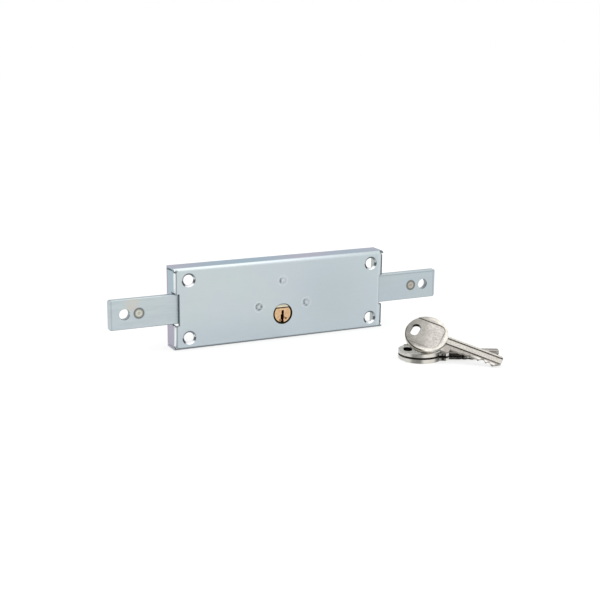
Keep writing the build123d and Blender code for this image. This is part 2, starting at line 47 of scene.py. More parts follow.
# Studio
FLOOR_SIZE = 6.0
FLOOR_GAP = 0.00005
FLOOR_SHADE = 0.96
FLOOR_ROUGH = 0.9
FLOOR_GLOW = 0.72
TENT = (1.04, 1.04, 1.04)
OVERHEAD_AT = (0.0, -0.2, 1.2)
OVERHEAD_SIZE = 1.7
OVERHEAD_WATTS = 7.0

# Plated sheet and bar
CASE_ZINC = (0.615, 0.680, 0.705)
# Painted shade: the case's face darker towards the bottom; the same colour also darkens it towards
# the right
CASE_LOW_ZINC = (0.540, 0.615, 0.655)
LEFT_BAR_ZINC = (0.585, 0.655, 0.675)
RIGHT_BAR_ZINC = (0.515, 0.585, 0.610)
PLATE_ZINC = (0.585, 0.655, 0.675)
# Painted shade on the bars' top faces
BAR_TOP_SHADE = (0.40, 0.455, 0.48)
BAR_DULL = (0.49, 0.56, 0.59)
WARM_ZINC = (0.69, 0.62, 0.54)
# Flanges: a painted darker reflection, tinted blue and lilac like the plating
FLANGE_BLUE = (0.285, 0.405, 0.48)
FLANGE_LILAC = (0.42, 0.39, 0.47)
SIDE_BLUE = (0.415, 0.515, 0.57)
SIDE_LILAC = (0.43, 0.425, 0.50)
SIDE_EDGE = (0.44, 0.39, 0.48)
INNER_GREEN = (0.50, 0.55, 0.51)
# Painted highlight, on folds, in countersinks and dents, and a painted reflection inside the lower
# flange
PALE_HIGHLIGHT = (0.90, 0.92, 0.94)
# Painted shade and shadow in folds, creases, slots, countersinks and dents; the same colours also
# serve a dark blot on the top flange and the lines round the studs
FOLD_SHADE = (0.19, 0.215, 0.235)
CUT_SHADE = (0.06, 0.095, 0.115)
LAP_SHADE = (0.10, 0.15, 0.18)
MARK_SHADE = (0.15, 0.165, 0.165)
SINK_SHADE = (0.03, 0.04, 0.045)

# Tints of the plating, as shares of its red, green and blue
BLUE_CLOUD = (0.965, 0.985, 1.035)
GREEN_CLOUD = (0.985, 1.025, 0.97)
ROSE_CLOUD = (1.045, 0.97, 1.01)
PALE_CLOUD = (1.07, 1.06, 1.05)
GREY_SPECK = (0.86, 0.87, 0.89)

# How finely the grain is drawn out along X, Y and Z
ALONG_X = (25, 700, 700)
ALONG_Z = (600, 600, 25)
DRAWN_X = (30, 300, 300)
EVEN = (300, 300, 300)

# Cylinder
NOSE_BRASS = (0.84, 0.58, 0.345)
NOSE_STAIN = (0.66, 0.42, 0.23)
# Grease and painted shade in the gaps round the cylinder's nose and deeper in
GREASE_AND_SHADE = (0.070, 0.050, 0.026)
KEYWAY_GREASE = (0.34, 0.15, 0.05)
NICK_BROWN = (0.16, 0.075, 0.035)
TONGUE_CREAM = (0.86, 0.77, 0.58)
TONGUE_GREY = (0.47, 0.51, 0.46)

# Keys
BOW_NICKEL = (0.535, 0.505, 0.47)
# Stains and specks, and the dark end of the bow's painted shading
BOW_STAIN_AND_SHADE = (0.18, 0.175, 0.16)
WING_NICKEL = (0.285, 0.265, 0.24)
BLADE_NICKEL = (0.47, 0.45, 0.415)
# Painted shade on the keys: in milled lines, eyes and cut walls, and along the bow's edge
KEY_SHADE = (0.085, 0.075, 0.06)
RIM_SHADE = (0.05, 0.044, 0.035)
WALL_GREY = (0.62, 0.61, 0.57)
WALL_DARK = (0.10, 0.095, 0.085)
RIM_LIGHT = (0.74, 0.71, 0.655)
# Painted highlight on lands, the shoulder and the edges of cuts
CUT_HIGHLIGHT = (0.90, 0.88, 0.84)
# Painted sheen on the flat keys
FLAT_KEY_SHEEN = (0.62, 0.60, 0.55)
# Painted shadow in the gap between the flat keys, in the eyes and among the blades
KEY_SHADOW = (0.012, 0.011, 0.009)

# How far a surface has turned to a side: the flat of a flange, and the bend short of it
FLAT_ON = (0.93, 0.99)
OFF_FLAT = (0.99, 0.93)

# Places on the case and the bars, in millimetres; a pair is where a shade starts and is full
LOW_TONE_X = (-40.0, 70.0)
ON_FACE_Y = (0.3, 0.1)
BEHIND_FOLD_Y = (2.0, 2.6)
REAR_EDGE_Y = (12.6, 13.6)
CUT_END_Y = (1.7, 1.5)
TOP_FOLD_Z = (23.0, 24.0)
INNER_FLANGE_X = (70.0, 75.0)
LOWER_FLANGE_Z = (-20.0, -21.0)
SINK_R = 4.65
SINK_Y = (1.6, 1.2)
LAP_Z = 26.5
LAP_SLOPE = 0.06
REAR_BLOT_X = 8.3
SLOT_TOP = 10.6
SLOT_LOW = -10.9
SLOT_SIDE = 75.1
SLOT_FOOT = -10.0
STAKE_R = 1.9
STUD_RIM_R = 3.6

# Marks, in metres; a spot of painted shade has its reach in millimetres and its strength too
CORNER_SPOTS = (((-0.0765, 0, 0.0262), 0.9, 0.7), ((0.0776, 0, 0.0264), 1.5, 0.9))
WARM_PATCH = (-0.106, 0, 0.0068)

# Cylinder's nose, in millimetres; each nick lies right of its middle and up, with reach and strength
NOSE_R = 6.5
NOSE_FLAT = 4.1
NOSE_DEPTH_Y = (6.0, 5.0)
NOSE_NICKS = (
    (1.3, -2.5, 0.9, 0.7),
    (2.0, -3.1, 0.8, 0.7),
    (2.6, -3.5, 1.2, 0.9),
    (-1.8, -4.5, 1.4, 0.8),
)

# Places on the keys, in millimetres: along from the bow's middle, across, and out of the flat
BOW_R = 14.0
PANEL_HALF_H = 10.0
PANEL_END = 10.4
PANEL_CORNER_R = 5.0
PANEL_DEPTH = (0.9, 1.1)
EYE_X = 7.9
EYE_R = 2.7
EYE_HALF_L = 2.0
BOW_BRIGHTENS_X = (-12.0, 9.0)
BOW_SLANT = 0.35
WALL_BAND_X = -3.0
WALL_END_X = (8.2, 10.6)
WALL_LIGHT_X = 5.0
CONTACT_X = 1.6
BLADE_FROM = 13.7
GROOVE_Y = 2.5
STEP_Y = -1.4
STEP_FADES_X = (46.0, 34.0)
SHOULDER_X = 18.1
SHOULDER_Y = (-3.4, -4.2)
FLAT_CUTS_FROM = (28.1, 31.1)
FLAT_CUTS_TO = (46.1, 44.1)
LANDS_FROM = (32.0, 36.0)
LANDS_TO = (48.6, 47.6)
LANDS_Y = (-2.3, -2.9)
LAND_EDGE_FROM = (24.0, 32.0)
LAND_EDGE_Y = (-3.75, -4.0)
GAP_DEPTH = {1: (0.95, 1.15), -1: (0.6, 0.8)}

# Edges, in millimetres
SHEET_EDGE = 0.18
BAR_EDGE = 0.35
FINE_EDGE = 0.08
KEY_EDGE = 0.35
EDGE_ANGLE = 35.0
WELD_REACH = 1e-6

# Staked posts: how the painted shade of the dent lies to the right and up, where it starts, and its
# wear
STAKES = {
    "top_post": (-1.0, 0.0, 0.35, 3.0),
    "left_post": (-0.4, -0.6, -1.0, 11.0),
    "right_post": (-0.9, -0.3, -0.35, 21.0),
}

# Studs: light and dark of the steel, and the seed of its stains
STUDS = {
    "left_bar_stud": ((0.62, 0.62, 0.54), (0.46, 0.46, 0.40), 2.0),
    "right_bar_stud": ((0.46, 0.43, 0.38), (0.35, 0.325, 0.285), 8.0),
}

# Inner pieces: material, its light and dark, the seed of its stains, and the piece's edge
INNER_PIECES = {
    "cylinder_body": ("body_brass", (0.72, 0.55, 0.27), (0.6, 0.44, 0.2), 10.0, SHEET_EDGE),
    "plug_clip": ("clip_steel", (0.45, 0.45, 0.47), (0.3, 0.3, 0.32), 10.0, FINE_EDGE),
    "cylinder_screws": ("screw_zinc", (0.6, 0.62, 0.63), (0.48, 0.5, 0.52), 10.0, 0.0),
    "chamber_strip": ("strip_brass", (0.68, 0.52, 0.26), (0.55, 0.42, 0.2), 11.0, 0.0),
}
PIN_LIGHT = (0.7, 0.54, 0.28)
PIN_DARK = (0.6, 0.46, 0.22)
WIRE_LIGHT = (0.5, 0.5, 0.52)
WIRE_DARK = (0.36, 0.36, 0.38)

# Keys: the seed of the stains, and the side that lies against the other flat key, 1 above, -1 below
KEYS = {"key_1": (13.0, 1), "key_2": (26.0, -1), "key_3": (39.0, 0)}


def new_group(name, inputs, outputs):
    """An empty shader node group with the given sockets; returns the tree and its end nodes."""
    tree = bpy.data.node_groups.new(name, "ShaderNodeTree")
    for label, kind, value in inputs:
        socket = tree.interface.new_socket(label, in_out="INPUT", socket_type=kind)
        if value is not None:
            socket.default_value = value
    for label, kind in outputs:
        tree.interface.new_socket(label, in_out="OUTPUT", socket_type=kind)
    entry = tree.nodes.new("NodeGroupInput")
    leave = tree.nodes.new("NodeGroupOutput")
    return tree, entry, leave


def add(tree, kind, **settings):
    """A node of the given kind; settings are attributes, or inputs by index as in_0, in_1."""
    node = tree.nodes.new(kind)
    for key, value in settings.items():
        if key.startswith("in_"):
            node.inputs[int(key[3:])].default_value = value
        else:
            setattr(node, key, value)
    return node


def join(tree, source, target):
    """Links an output socket to an input socket."""
    tree.links.new(source, target)


def maths(tree, operation, first, second):
    """Math node fed by sockets or plain numbers."""
    node = add(tree, "ShaderNodeMath", operation=operation)
    for i, value in enumerate((first, second)):
        if isinstance(value, (int, float)):
            node.inputs[i].default_value = value
        else:
            join(tree, value, node.inputs[i])
    return node.outputs[0]


def vector_maths(tree, operation, first, second=None):
    """Vector math node fed by a socket, and by another socket or a plain vector."""
    node = add(tree, "ShaderNodeVectorMath", operation=operation)
    join(tree, first, node.inputs[0])
    if isinstance(second, tuple):
        node.inputs[1].default_value = second
    elif second is not None:
        join(tree, second, node.inputs[1])
    return node


def grain_group():
    """Fine lines of rolling or brushing, drawn out by the given stretch."""
    tree, entry, leave = new_group(
        "grain",
        [("Stretch", "NodeSocketVector", ALONG_X)],
        [("Height", "NodeSocketFloat")],
    )
    place = add(tree, "ShaderNodeTexCoord")
    scaled = vector_maths(tree, "MULTIPLY", place.outputs["Object"], entry.outputs["Stretch"])
    noise = add(tree, "ShaderNodeTexNoise")
    noise.inputs["Scale"].default_value = 1.0
    noise.inputs["Detail"].default_value = 4.0
    noise.inputs["Roughness"].default_value = 0.65
    join(tree, scaled.outputs[0], noise.inputs["Vector"])
    join(tree, noise.outputs["Fac"], leave.inputs["Height"])
    return tree


def cloud_group():
    """Soft patches, as in plating or handled metal, from 0 to 1."""
    tree, entry, leave = new_group(
        "cloud",
        [
            ("Scale", "NodeSocketFloat", 30.0),
            ("Contrast", "NodeSocketFloat", 2.0),
            ("Seed", "NodeSocketFloat", 0.0),
        ],
        [("Mask", "NodeSocketFloat")],
    )
    place = add(tree, "ShaderNodeTexCoord")
    noise = add(tree, "ShaderNodeTexNoise", noise_dimensions="4D")
    noise.inputs["Detail"].default_value = 3.0
    noise.inputs["Roughness"].default_value = 0.5
    join(tree, place.outputs["Object"], noise.inputs["Vector"])
    join(tree, entry.outputs["Scale"], noise.inputs["Scale"])
    join(tree, entry.outputs["Seed"], noise.inputs["W"])
    centred = maths(tree, "SUBTRACT", noise.outputs["Fac"], 0.5)
    spread = maths(tree, "MULTIPLY", centred, entry.outputs["Contrast"])
    lifted = maths(tree, "ADD", spread, 0.5)
    clamp = add(tree, "ShaderNodeClamp")
    join(tree, lifted, clamp.inputs["Value"])
    join(tree, clamp.outputs[0], leave.inputs["Mask"])
    return tree


def rings_group():
    """Turned rings about an axis along Y through the given point."""
    tree, entry, leave = new_group(
        "turned_rings",
        [("Centre", "NodeSocketVector", (0, 0, 0)), ("Pitch", "NodeSocketFloat", 0.0004)],
        [("Height", "NodeSocketFloat")],
    )
    place = add(tree, "ShaderNodeTexCoord")
    away = vector_maths(tree, "SUBTRACT", place.outputs["Object"], entry.outputs["Centre"])
    flat = vector_maths(tree, "MULTIPLY", away.outputs[0], (1, 0, 1))
    length = vector_maths(tree, "LENGTH", flat.outputs[0])
    turns = maths(tree, "DIVIDE", length.outputs["Value"], entry.outputs["Pitch"])
    wave = maths(tree, "SINE", maths(tree, "MULTIPLY", turns, 2 * pi), 0)
    join(tree, wave, leave.inputs["Height"])
    return tree


def facing_group():
    """How far a surface faces right, back and up in the part's own frame, each from -1 to 1."""
    tree, _, leave = new_group(
        "facing",
        [],
        [("Right", "NodeSocketFloat"), ("Back", "NodeSocketFloat"), ("Up", "NodeSocketFloat")],
    )
    place = add(tree, "ShaderNodeTexCoord")
    split = add(tree, "ShaderNodeSeparateXYZ")
    join(tree, place.outputs["Normal"], split.inputs[0])
    for source, target in (("X", "Right"), ("Y", "Back"), ("Z", "Up")):
        join(tree, split.outputs[source], leave.inputs[target])
    return tree


def round_place_group():
    """Millimetres from an axis along Y, and the share of them to the right and up.

    Repeat moves the axis by so much either way, for the holes of a pattern.
    """
    tree, entry, leave = new_group(
        "round_place",
        [("Centre", "NodeSocketVector", (0, 0, 0)), ("Repeat", "NodeSocketVector", (0, 0, 0))],
        [("Radius", "NodeSocketFloat"), ("Across", "NodeSocketFloat"), ("Rise", "NodeSocketFloat")],
    )
    place = add(tree, "ShaderNodeTexCoord")
    away = vector_maths(tree, "SUBTRACT", place.outputs["Object"], entry.outputs["Centre"])
    hand = vector_maths(tree, "SIGN", away.outputs[0])
    shift = vector_maths(tree, "MULTIPLY", hand.outputs[0], entry.outputs["Repeat"])
    near = vector_maths(tree, "SUBTRACT", away.outputs[0], shift.outputs[0])
    flat = vector_maths(tree, "MULTIPLY", near.outputs[0], (1 / MM, 0, 1 / MM))
    radius = vector_maths(tree, "LENGTH", flat.outputs[0]).outputs["Value"]
    split = add(tree, "ShaderNodeSeparateXYZ")
    join(tree, flat.outputs[0], split.inputs[0])
    join(tree, radius, leave.inputs["Radius"])
    join(tree, maths(tree, "DIVIDE", split.outputs["X"], radius), leave.inputs["Across"])
    join(tree, maths(tree, "DIVIDE", split.outputs["Z"], radius), leave.inputs["Rise"])
    return tree


def key_place_group():
    """Millimetres along, across and out of a key, from the middle of its bow."""
    tree, entry, leave = new_group(
        "key_place",
        [(label, "NodeSocketVector", (0, 0, 0)) for label in ("Middle", "Along", "Across", "Out")],
        [(label, "NodeSocketFloat") for label in ("Along", "Across", "Out")],
    )
    place = add(tree, "ShaderNodeTexCoord")
    away = vector_maths(tree, "SUBTRACT", place.outputs["Object"], entry.outputs["Middle"])
    for label in ("Along", "Across", "Out"):
        share = vector_maths(tree, "DOT_PRODUCT", away.outputs[0], entry.outputs[label])
        reach = maths(tree, "MULTIPLY", share.outputs["Value"], 1 / MM)
        join(tree, reach, leave.inputs[label])
    return tree


GRAIN = grain_group()
CLOUD = cloud_group()
RINGS = rings_group()
FACING = facing_group()
ROUND_PLACE = round_place_group()
KEY_PLACE = key_place_group()


def place_group(tree, group, **values):
    """One of the shared groups, placed in a material with its own values."""
    node = add(tree, "ShaderNodeGroup", node_tree=group)
    for key, value in values.items():
        node.inputs[key].default_value = value
    return node


def cloud(tree, scale, contrast, seed):
    """Mask of soft patches."""
    return place_group(tree, CLOUD, Scale=scale, Contrast=contrast, Seed=seed).outputs["Mask"]


def grain(tree, stretch):
    """Height of fine drawn lines."""
    return place_group(tree, GRAIN, Stretch=stretch).outputs["Height"]


def around(tree, centre, repeat=(0, 0, 0)):
    """Radius in millimetres from an axis along Y, and the share of it to the right and up."""
    place = place_group(tree, ROUND_PLACE, Centre=centre, Repeat=repeat)
    return place.outputs["Radius"], place.outputs["Across"], place.outputs["Rise"]


def ramp(tree, mask, low, high):
    """Number from low to high as the mask goes from 0 to 1."""
    node = add(tree, "ShaderNodeMapRange")
    node.inputs["To Min"].default_value = low
    node.inputs["To Max"].default_value = high
    join(tree, mask, node.inputs["Value"])
    return node.outputs["Result"]


def rise_over(tree, value, start, end):
    """0 to 1, softly, as the value goes from start to end; start may be the larger."""
    node = add(tree, "ShaderNodeMapRange", interpolation_type="SMOOTHSTEP")
    node.inputs["From Min"].default_value = start
    node.inputs["From Max"].default_value = end
    join(tree, value, node.inputs["Value"])
    return node.outputs["Result"]


def line_at(tree, value, middle, half_width):
    """1 where the value is at the middle, 0 from the half width on."""
    off = maths(tree, "ABSOLUTE", maths(tree, "SUBTRACT", value, middle), 0)
    return rise_over(tree, off, half_width, half_width * 0.4)


def between(tree, value, low, high, soft):
    """1 from low to high, softly past either end."""
    from_low = rise_over(tree, value, low - soft, low + soft)
    to_high = rise_over(tree, value, high + soft, high - soft)
    return all_of(tree, from_low, to_high)


def all_of(tree, *masks):
    """Product of masks."""
    result = masks[0]
    for mask in masks[1:]:
        result = maths(tree, "MULTIPLY", result, mask)
    return result


def any_of(tree, first, second):
    """The greater of two masks."""
    return maths(tree, "MAXIMUM", first, second)


def distance(tree, first, second):
    """How far a point lies off, from its distances along two square axes."""
    first_square = maths(tree, "MULTIPLY", first, first)
    second_square = maths(tree, "MULTIPLY", second, second)
    return maths(tree, "SQRT", maths(tree, "ADD", first_square, second_square), 0)


def tint(tree, mask, low, high):
    """Colour from low to high as the mask goes from 0 to 1; each is a colour or a socket."""
    node = add(tree, "ShaderNodeMix", data_type="RGBA")
    join(tree, mask, node.inputs[0])
    for index, value in ((6, low), (7, high)):
        if isinstance(value, tuple):
            node.inputs[index].default_value = (*value, 1)
        else:
            join(tree, value, node.inputs[index])
    return node.outputs[2]


def paint(tree, tone, colour, mask, strength=1.0):
    """The tone with a colour, or another tone, laid over it by a mask."""
    if strength < 1.0:
        mask = ramp(tree, mask, 0.0, strength)
    return tint(tree, mask, tone, colour)


def share_of(colour, shares):
    """A colour with its red, green and blue multiplied by the given shares."""
    return tuple(part * share for part, share in zip(colour, shares))


def new_material(name, metallic=1.0):
    """A material with a Principled shader; returns the material, its tree and the shader."""
    material = bpy.data.materials.new(name)
    material.use_nodes = True
    shader = material.node_tree.nodes["Principled BSDF"]
    shader.inputs["Metallic"].default_value = metallic
    return material, material.node_tree, shader


def bump(tree, shader, height, distance_m):
    """Fine relief from a height between 0 and 1."""
    node = add(tree, "ShaderNodeBump")
    node.inputs["Strength"].default_value = 1.0
    node.inputs["Distance"].default_value = distance_m
    join(tree, height, node.inputs["Height"])
    join(tree, node.outputs[0], shader.inputs["Normal"])


def place_in_mm(tree):
    """X, Y and Z of the part's own frame in millimetres."""
    place = add(tree, "ShaderNodeTexCoord")
    scaled = add(tree, "ShaderNodeVectorMath", operation="SCALE")
    scaled.inputs["Scale"].default_value = 1 / MM
    join(tree, place.outputs["Object"], scaled.inputs[0])
    split = add(tree, "ShaderNodeSeparateXYZ")
    join(tree, scaled.outputs[0], split.inputs[0])
    return split.outputs


def centre_of(node):
    """Middle of a CAD node's box, in metres."""
    low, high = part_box(node)
    return tuple((low + high) / 2)


def mount(name):
    """A mount of the part's record, by its name."""
    return next(m for m in frame["record"]["mounts"] if m["name"] == name)


def zinc_tone(tree, base, seed):
    """Blue-white plating with green, rose and blue clouds and fine specks."""
    green = cloud(tree, 26.0, 3.2, seed + 1.0)
    rose = cloud(tree, 19.0, 3.0, seed + 5.0)
    pale = cloud(tree, 130.0, 2.4, seed + 7.0)
    speck = cloud(tree, 800.0, 1.6, seed + 9.0)
    tone = tint(tree, green, share_of(base, BLUE_CLOUD), share_of(base, GREEN_CLOUD))
    tone = paint(tree, tone, share_of(base, ROSE_CLOUD), rose, 0.5)
    tone = paint(tree, tone, share_of(base, PALE_CLOUD), pale, 0.3)
    return paint(tree, tone, share_of(base, GREY_SPECK), speck, 0.16)


def zinc_finish(tree, shader, tone, stretch):
    """Sets the plating's colour, and the sheet's grain in roughness and relief."""
    join(tree, tone, shader.inputs["Base Color"])
    lines = grain(tree, stretch)
    join(tree, ramp(tree, lines, 0.42, 0.56), shader.inputs["Roughness"])
    bump(tree, shader, lines, 0.000012)


def plate_zinc():
    """The back plate's plain plating, rolled upright."""
    material, tree, shader = new_material("plate_zinc")
    zinc_finish(tree, shader, zinc_tone(tree, PLATE_ZINC, 20.0), ALONG_Z)
    return material


def stake_mark(tree, tone, post):
    """Dented ring where a post is staked: a patchy darker disc, painted shade on one side of the
    ring, and painted highlights in its middle and in a halo round it.
    """
    dark_across, dark_rise, start, seed = STAKES[post]
    radius, across, rise = around(tree, centre_of(post))
    worn = cloud(tree, 700.0, 6.0, seed)
    share_across = maths(tree, "MULTIPLY", across, dark_across)
    share_up = maths(tree, "MULTIPLY", rise, dark_rise)
    side = rise_over(tree, maths(tree, "ADD", share_across, share_up), start, start + 0.6)
    dark = all_of(tree, line_at(tree, radius, STAKE_R, 1.05), side, ramp(tree, worn, 0.35, 1.0))
    darker_dent = all_of(tree, rise_over(tree, radius, STAKE_R + 0.8, STAKE_R - 0.4), worn)
    halo = all_of(tree, line_at(tree, radius, STAKE_R + 1.6, 0.8), worn)
    tone = paint(tree, tone, MARK_SHADE, darker_dent, 0.28)
    tone = paint(tree, tone, PALE_HIGHLIGHT, line_at(tree, radius, STAKE_R - 1.3, 0.8), 0.25)
    tone = paint(tree, tone, PALE_HIGHLIGHT, halo, 0.3)
    return paint(tree, tone, MARK_SHADE, dark, 0.85)


def staked(tree, tone):
    """The tone with the marks of all three staked posts."""
    for post in STAKES:
        tone = stake_mark(tree, tone, post)
    return tone


def case_place(tree):
    """Where a point of the case lies in millimetres, and how far its surface faces each way."""
    x, y, z = place_in_mm(tree)
    facing = place_group(tree, FACING).outputs
    left = maths(tree, "MULTIPLY", facing["Right"], -1)
    left_half = rise_over(tree, x, 0.0, -1.0)
    return SimpleNamespace(
        x=x, y=y, z=z, right=facing["Right"], left=left, up=facing["Up"], left_half=left_half
    )


def flange_shade_and_tints(tree, tone, at):
    """A painted darker reflection on the top and left flanges, in blue and lilac clouds of the
    plating; green inside the right one.
    """
    behind_fold = rise_over(tree, at.y, *BEHIND_FOLD_Y)
    patch = cloud(tree, 14.0, 3.0, 31.0)
    top_tone = tint(tree, patch, FLANGE_LILAC, FLANGE_BLUE)
    top = all_of(tree, rise_over(tree, at.up, *FLAT_ON), behind_fold)
    tone = paint(tree, tone, top_tone, top)
    patchy_z = maths(tree, "ADD", at.z, ramp(tree, patch, -6.0, 6.0))
    side_tone = tint(tree, rise_over(tree, patchy_z, -4.0, 6.0), SIDE_LILAC, SIDE_BLUE)
    side_tone = paint(tree, side_tone, SIDE_EDGE, rise_over(tree, at.y, 11.5, 14.0))
    side = all_of(tree, rise_over(tree, at.left, *FLAT_ON), behind_fold, at.left_half)
    tone = paint(tree, tone, side_tone, side)
    faces_left = rise_over(tree, at.left, 0.9, 0.98)
    inner = all_of(tree, faces_left, rise_over(tree, at.x, *INNER_FLANGE_X))
    return paint(tree, tone, INNER_GREEN, inner, 0.8)


def fold_shades(tree, tone, at, end):
    """Painted highlights on the folds at the top and left, painted shade in the crease and a painted
    shadow at the lap beside them, a faint pale line of painted reflection near the right end,
    painted shade on the fold at the right.
    """
    top_fold = all_of(
        tree,
        rise_over(tree, at.up, 0.1, 0.4),
        rise_over(tree, at.up, *OFF_FLAT),
        rise_over(tree, at.z, *TOP_FOLD_Z),
    )
    tone = paint(tree, tone, PALE_HIGHLIGHT, top_fold, 0.1)
    left_fold = all_of(
        tree,
        rise_over(tree, at.left, 0.58, 0.7),
        rise_over(tree, at.left, *OFF_FLAT),
        at.left_half,
    )
    tone = paint(tree, tone, PALE_HIGHLIGHT, left_fold, 0.95)
    crease = all_of(
        tree,
        rise_over(tree, at.left, 0.2, 0.35),
        rise_over(tree, at.left, 0.66, 0.56),
        at.left_half,
    )
    tone = paint(tree, tone, FOLD_SHADE, crease, 0.6)
    leaning_z = maths(tree, "ADD", at.z, maths(tree, "MULTIPLY", at.y, LAP_SLOPE))
    lap = all_of(
        tree,
        line_at(tree, leaning_z, LAP_Z, 0.95),
        rise_over(tree, at.left, 0.75, 0.9),
        at.left_half,
        ramp(tree, rise_over(tree, at.y, 1.0, 8.0), 0.3, 1.0),
    )
    tone = paint(tree, tone, LAP_SHADE, lap, 0.85)
    bend_reflection = all_of(tree, line_at(tree, at.x, end - 3.6, 1.3), rise_over(tree, at.y, *ON_FACE_Y))
    tone = paint(tree, tone, PALE_HIGHLIGHT, bend_reflection, 0.15)
    right_fold = all_of(
        tree,
        rise_over(tree, at.right, 0.12, 0.3),
        rise_over(tree, at.right, *OFF_FLAT),
        rise_over(tree, at.x, end - 2.7, end - 2.3),
    )
    return paint(tree, tone, CUT_SHADE, right_fold)


def blot_and_corner_shade(tree, tone, at):
    """A dark blot on the top flange's rear edge, and spots of painted shade at two corners of the
    face.
    """
    blot = all_of(
        tree,
        line_at(tree, at.x, REAR_BLOT_X, 1.7),
        rise_over(tree, at.y, *REAR_EDGE_Y),
        rise_over(tree, at.up, 0.1, 0.4),
    )
    tone = paint(tree, tone, FOLD_SHADE, blot, 0.7)
    for place, reach, strength in CORNER_SPOTS:
        radius, _, _ = around(tree, place)
        spot = rise_over(tree, radius, reach, reach * 0.4)
        tone = paint(tree, tone, FOLD_SHADE, spot, strength)
    return tone


def slot_shades(tree, tone, at):
    """Painted shade lines round the bars' slots: above, below and beside the left one, beside the
    right.
    """
    top = all_of(
        tree,
        line_at(tree, at.z, SLOT_TOP + 0.4, 0.7),
        rise_over(tree, at.y, 7.0, 6.0),
        rise_over(tree, at.left, 0.5, 0.8),
        at.left_half,
    )
    tone = paint(tree, tone, CUT_SHADE, top, 0.9)
    low = all_of(
        tree,
        line_at(tree, at.z, SLOT_LOW - 0.3, 0.7),
        rise_over(tree, at.left, 0.15, 0.3),
        rise_over(tree, at.left, 0.95, 0.8),
        at.left_half,
    )
    tone = paint(tree, tone, FOLD_SHADE, low, 0.8)
    on_face = rise_over(tree, at.y, *ON_FACE_Y)
    slot_height = all_of(tree, between(tree, at.z, SLOT_LOW, SLOT_TOP, 0.2), on_face)
    left_side = all_of(tree, line_at(tree, at.x, -SLOT_SIDE + 0.2, 0.5), slot_height)
    tone = paint(tree, tone, CUT_SHADE, left_side, 0.75)
    right_side = all_of(tree, line_at(tree, at.x, SLOT_SIDE - 0.2, 0.45), slot_height)
    return paint(tree, tone, FOLD_SHADE, right_side, 0.45)


def inner_and_cut_shades(tree, tone, at):
    """A painted reflection inside the lower flange, painted shade at the slots' foot, on the lower
    fold and on the cut ends.
    """
    facing_up = rise_over(tree, at.up, 0.9, 0.98)
    lower_flange = all_of(tree, facing_up, rise_over(tree, at.z, *LOWER_FLANGE_Z))
    tone = paint(tree, tone, PALE_HIGHLIGHT, lower_flange)
    slot_foot = all_of(tree, facing_up, line_at(tree, at.z, SLOT_FOOT, 5.0))
    tone = paint(tree, tone, FOLD_SHADE, slot_foot, 0.6)
    tone = paint(tree, tone, FOLD_SHADE, rise_over(tree, at.up, -0.2, -0.6))
    sideways = rise_over(tree, maths(tree, "ABSOLUTE", at.right, 0), 0.9, 0.98)
    cut = all_of(tree, sideways, rise_over(tree, at.y, *CUT_END_Y))
    return paint(tree, tone, CUT_SHADE, cut)


def fixing_holes(tree, tone, at):
    """Countersinks: a painted highlight below, painted shade at the wall to either side, a thin
    painted shade line above.
    """
    dims = mount("fixing_holes")["dims"]
    repeat = (dims["spacing_x_mm"] / 2 * MM, 0, dims["spacing_y_mm"] / 2 * MM)
    radius, across, rise = around(tree, (0, 0, 0), repeat)
    front = rise_over(tree, at.y, *SINK_Y)
    sink = all_of(tree, rise_over(tree, radius, SINK_R + 0.1, SINK_R - 0.1), front)
    tone = paint(tree, tone, PALE_HIGHLIGHT, all_of(tree, sink, rise_over(tree, rise, -0.2, -0.7)))
    rim = all_of(tree, line_at(tree, radius, SINK_R - 0.2, 0.45), rise_over(tree, rise, -0.4, 0.1))
    tone = paint(tree, tone, FOLD_SHADE, rim, 0.45)
    past_rim = all_of(tree, rise_over(tree, radius, SINK_R + 0.5, SINK_R + 0.2), front)
    left_wall = all_of(
        tree,
        past_rim,
        rise_over(tree, across, -0.5, -0.72),
        rise_over(tree, rise, 0.1, -0.15),
    )
    tone = paint(tree, tone, SINK_SHADE, left_wall, 0.9)
    right_wall = all_of(
        tree,
        sink,
        rise_over(tree, across, 0.75, 0.9),
        rise_over(tree, rise, 0.12, -0.05),
    )
    return paint(tree, tone, SINK_SHADE, right_wall, 0.85)


def case_zinc():
    """The case's plating, with painted light and shade on its folds, cut edges, slots, countersinks
    and staked posts, and grease and painted shade round the cylinder's nose.
    """
    material, tree, shader = new_material("case_zinc")
    at = case_place(tree)
    low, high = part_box("case")
    tone = zinc_tone(tree, CASE_ZINC, 0.0)
    # Painted shade darkens the face towards the bottom; the next line also darkens it towards the
    # right
    tone = paint(tree, tone, CASE_LOW_ZINC, rise_over(tree, at.z, 0.0, low.z / MM), 0.8)
    tone = paint(tree, tone, CASE_LOW_ZINC, rise_over(tree, at.x, *LOW_TONE_X), 0.6)
    tone = flange_shade_and_tints(tree, tone, at)
    tone = fold_shades(tree, tone, at, high.x / MM)
    tone = blot_and_corner_shade(tree, tone, at)
    tone = slot_shades(tree, tone, at)
    tone = inner_and_cut_shades(tree, tone, at)
    tone = fixing_holes(tree, tone, at)
    tone = staked(tree, tone)
    # Grease and painted shade in the gap round the cylinder's nose
    from_nose, _, _ = around(tree, centre_of("driver_gear"))
    tone = paint(tree, tone, GREASE_AND_SHADE, rise_over(tree, from_nose, NOSE_R + 0.8, NOSE_R + 0.6))
    zinc_finish(tree, shader, tone, ALONG_X)
    return material


def post_zinc():
    """The posts' plating, with the same painted dent marks as the face round their ends."""
    material, tree, shader = new_material("post_zinc")
    zinc_finish(tree, shader, staked(tree, zinc_tone(tree, CASE_ZINC, 0.0)), ALONG_X)
    return material


def warm_patch(tree, tone, seed):
    """Worn, warmer plating on the left bar, above its eye and stud."""
    radius, _, _ = around(tree, WARM_PATCH)
    uneven = ramp(tree, cloud(tree, 300.0, 4.0, seed + 6.0), 0.4, 1.0)
    warm = all_of(tree, rise_over(tree, radius, 7.0, 2.0), uneven)
    return paint(tree, tone, WARM_ZINC, warm, 0.9)


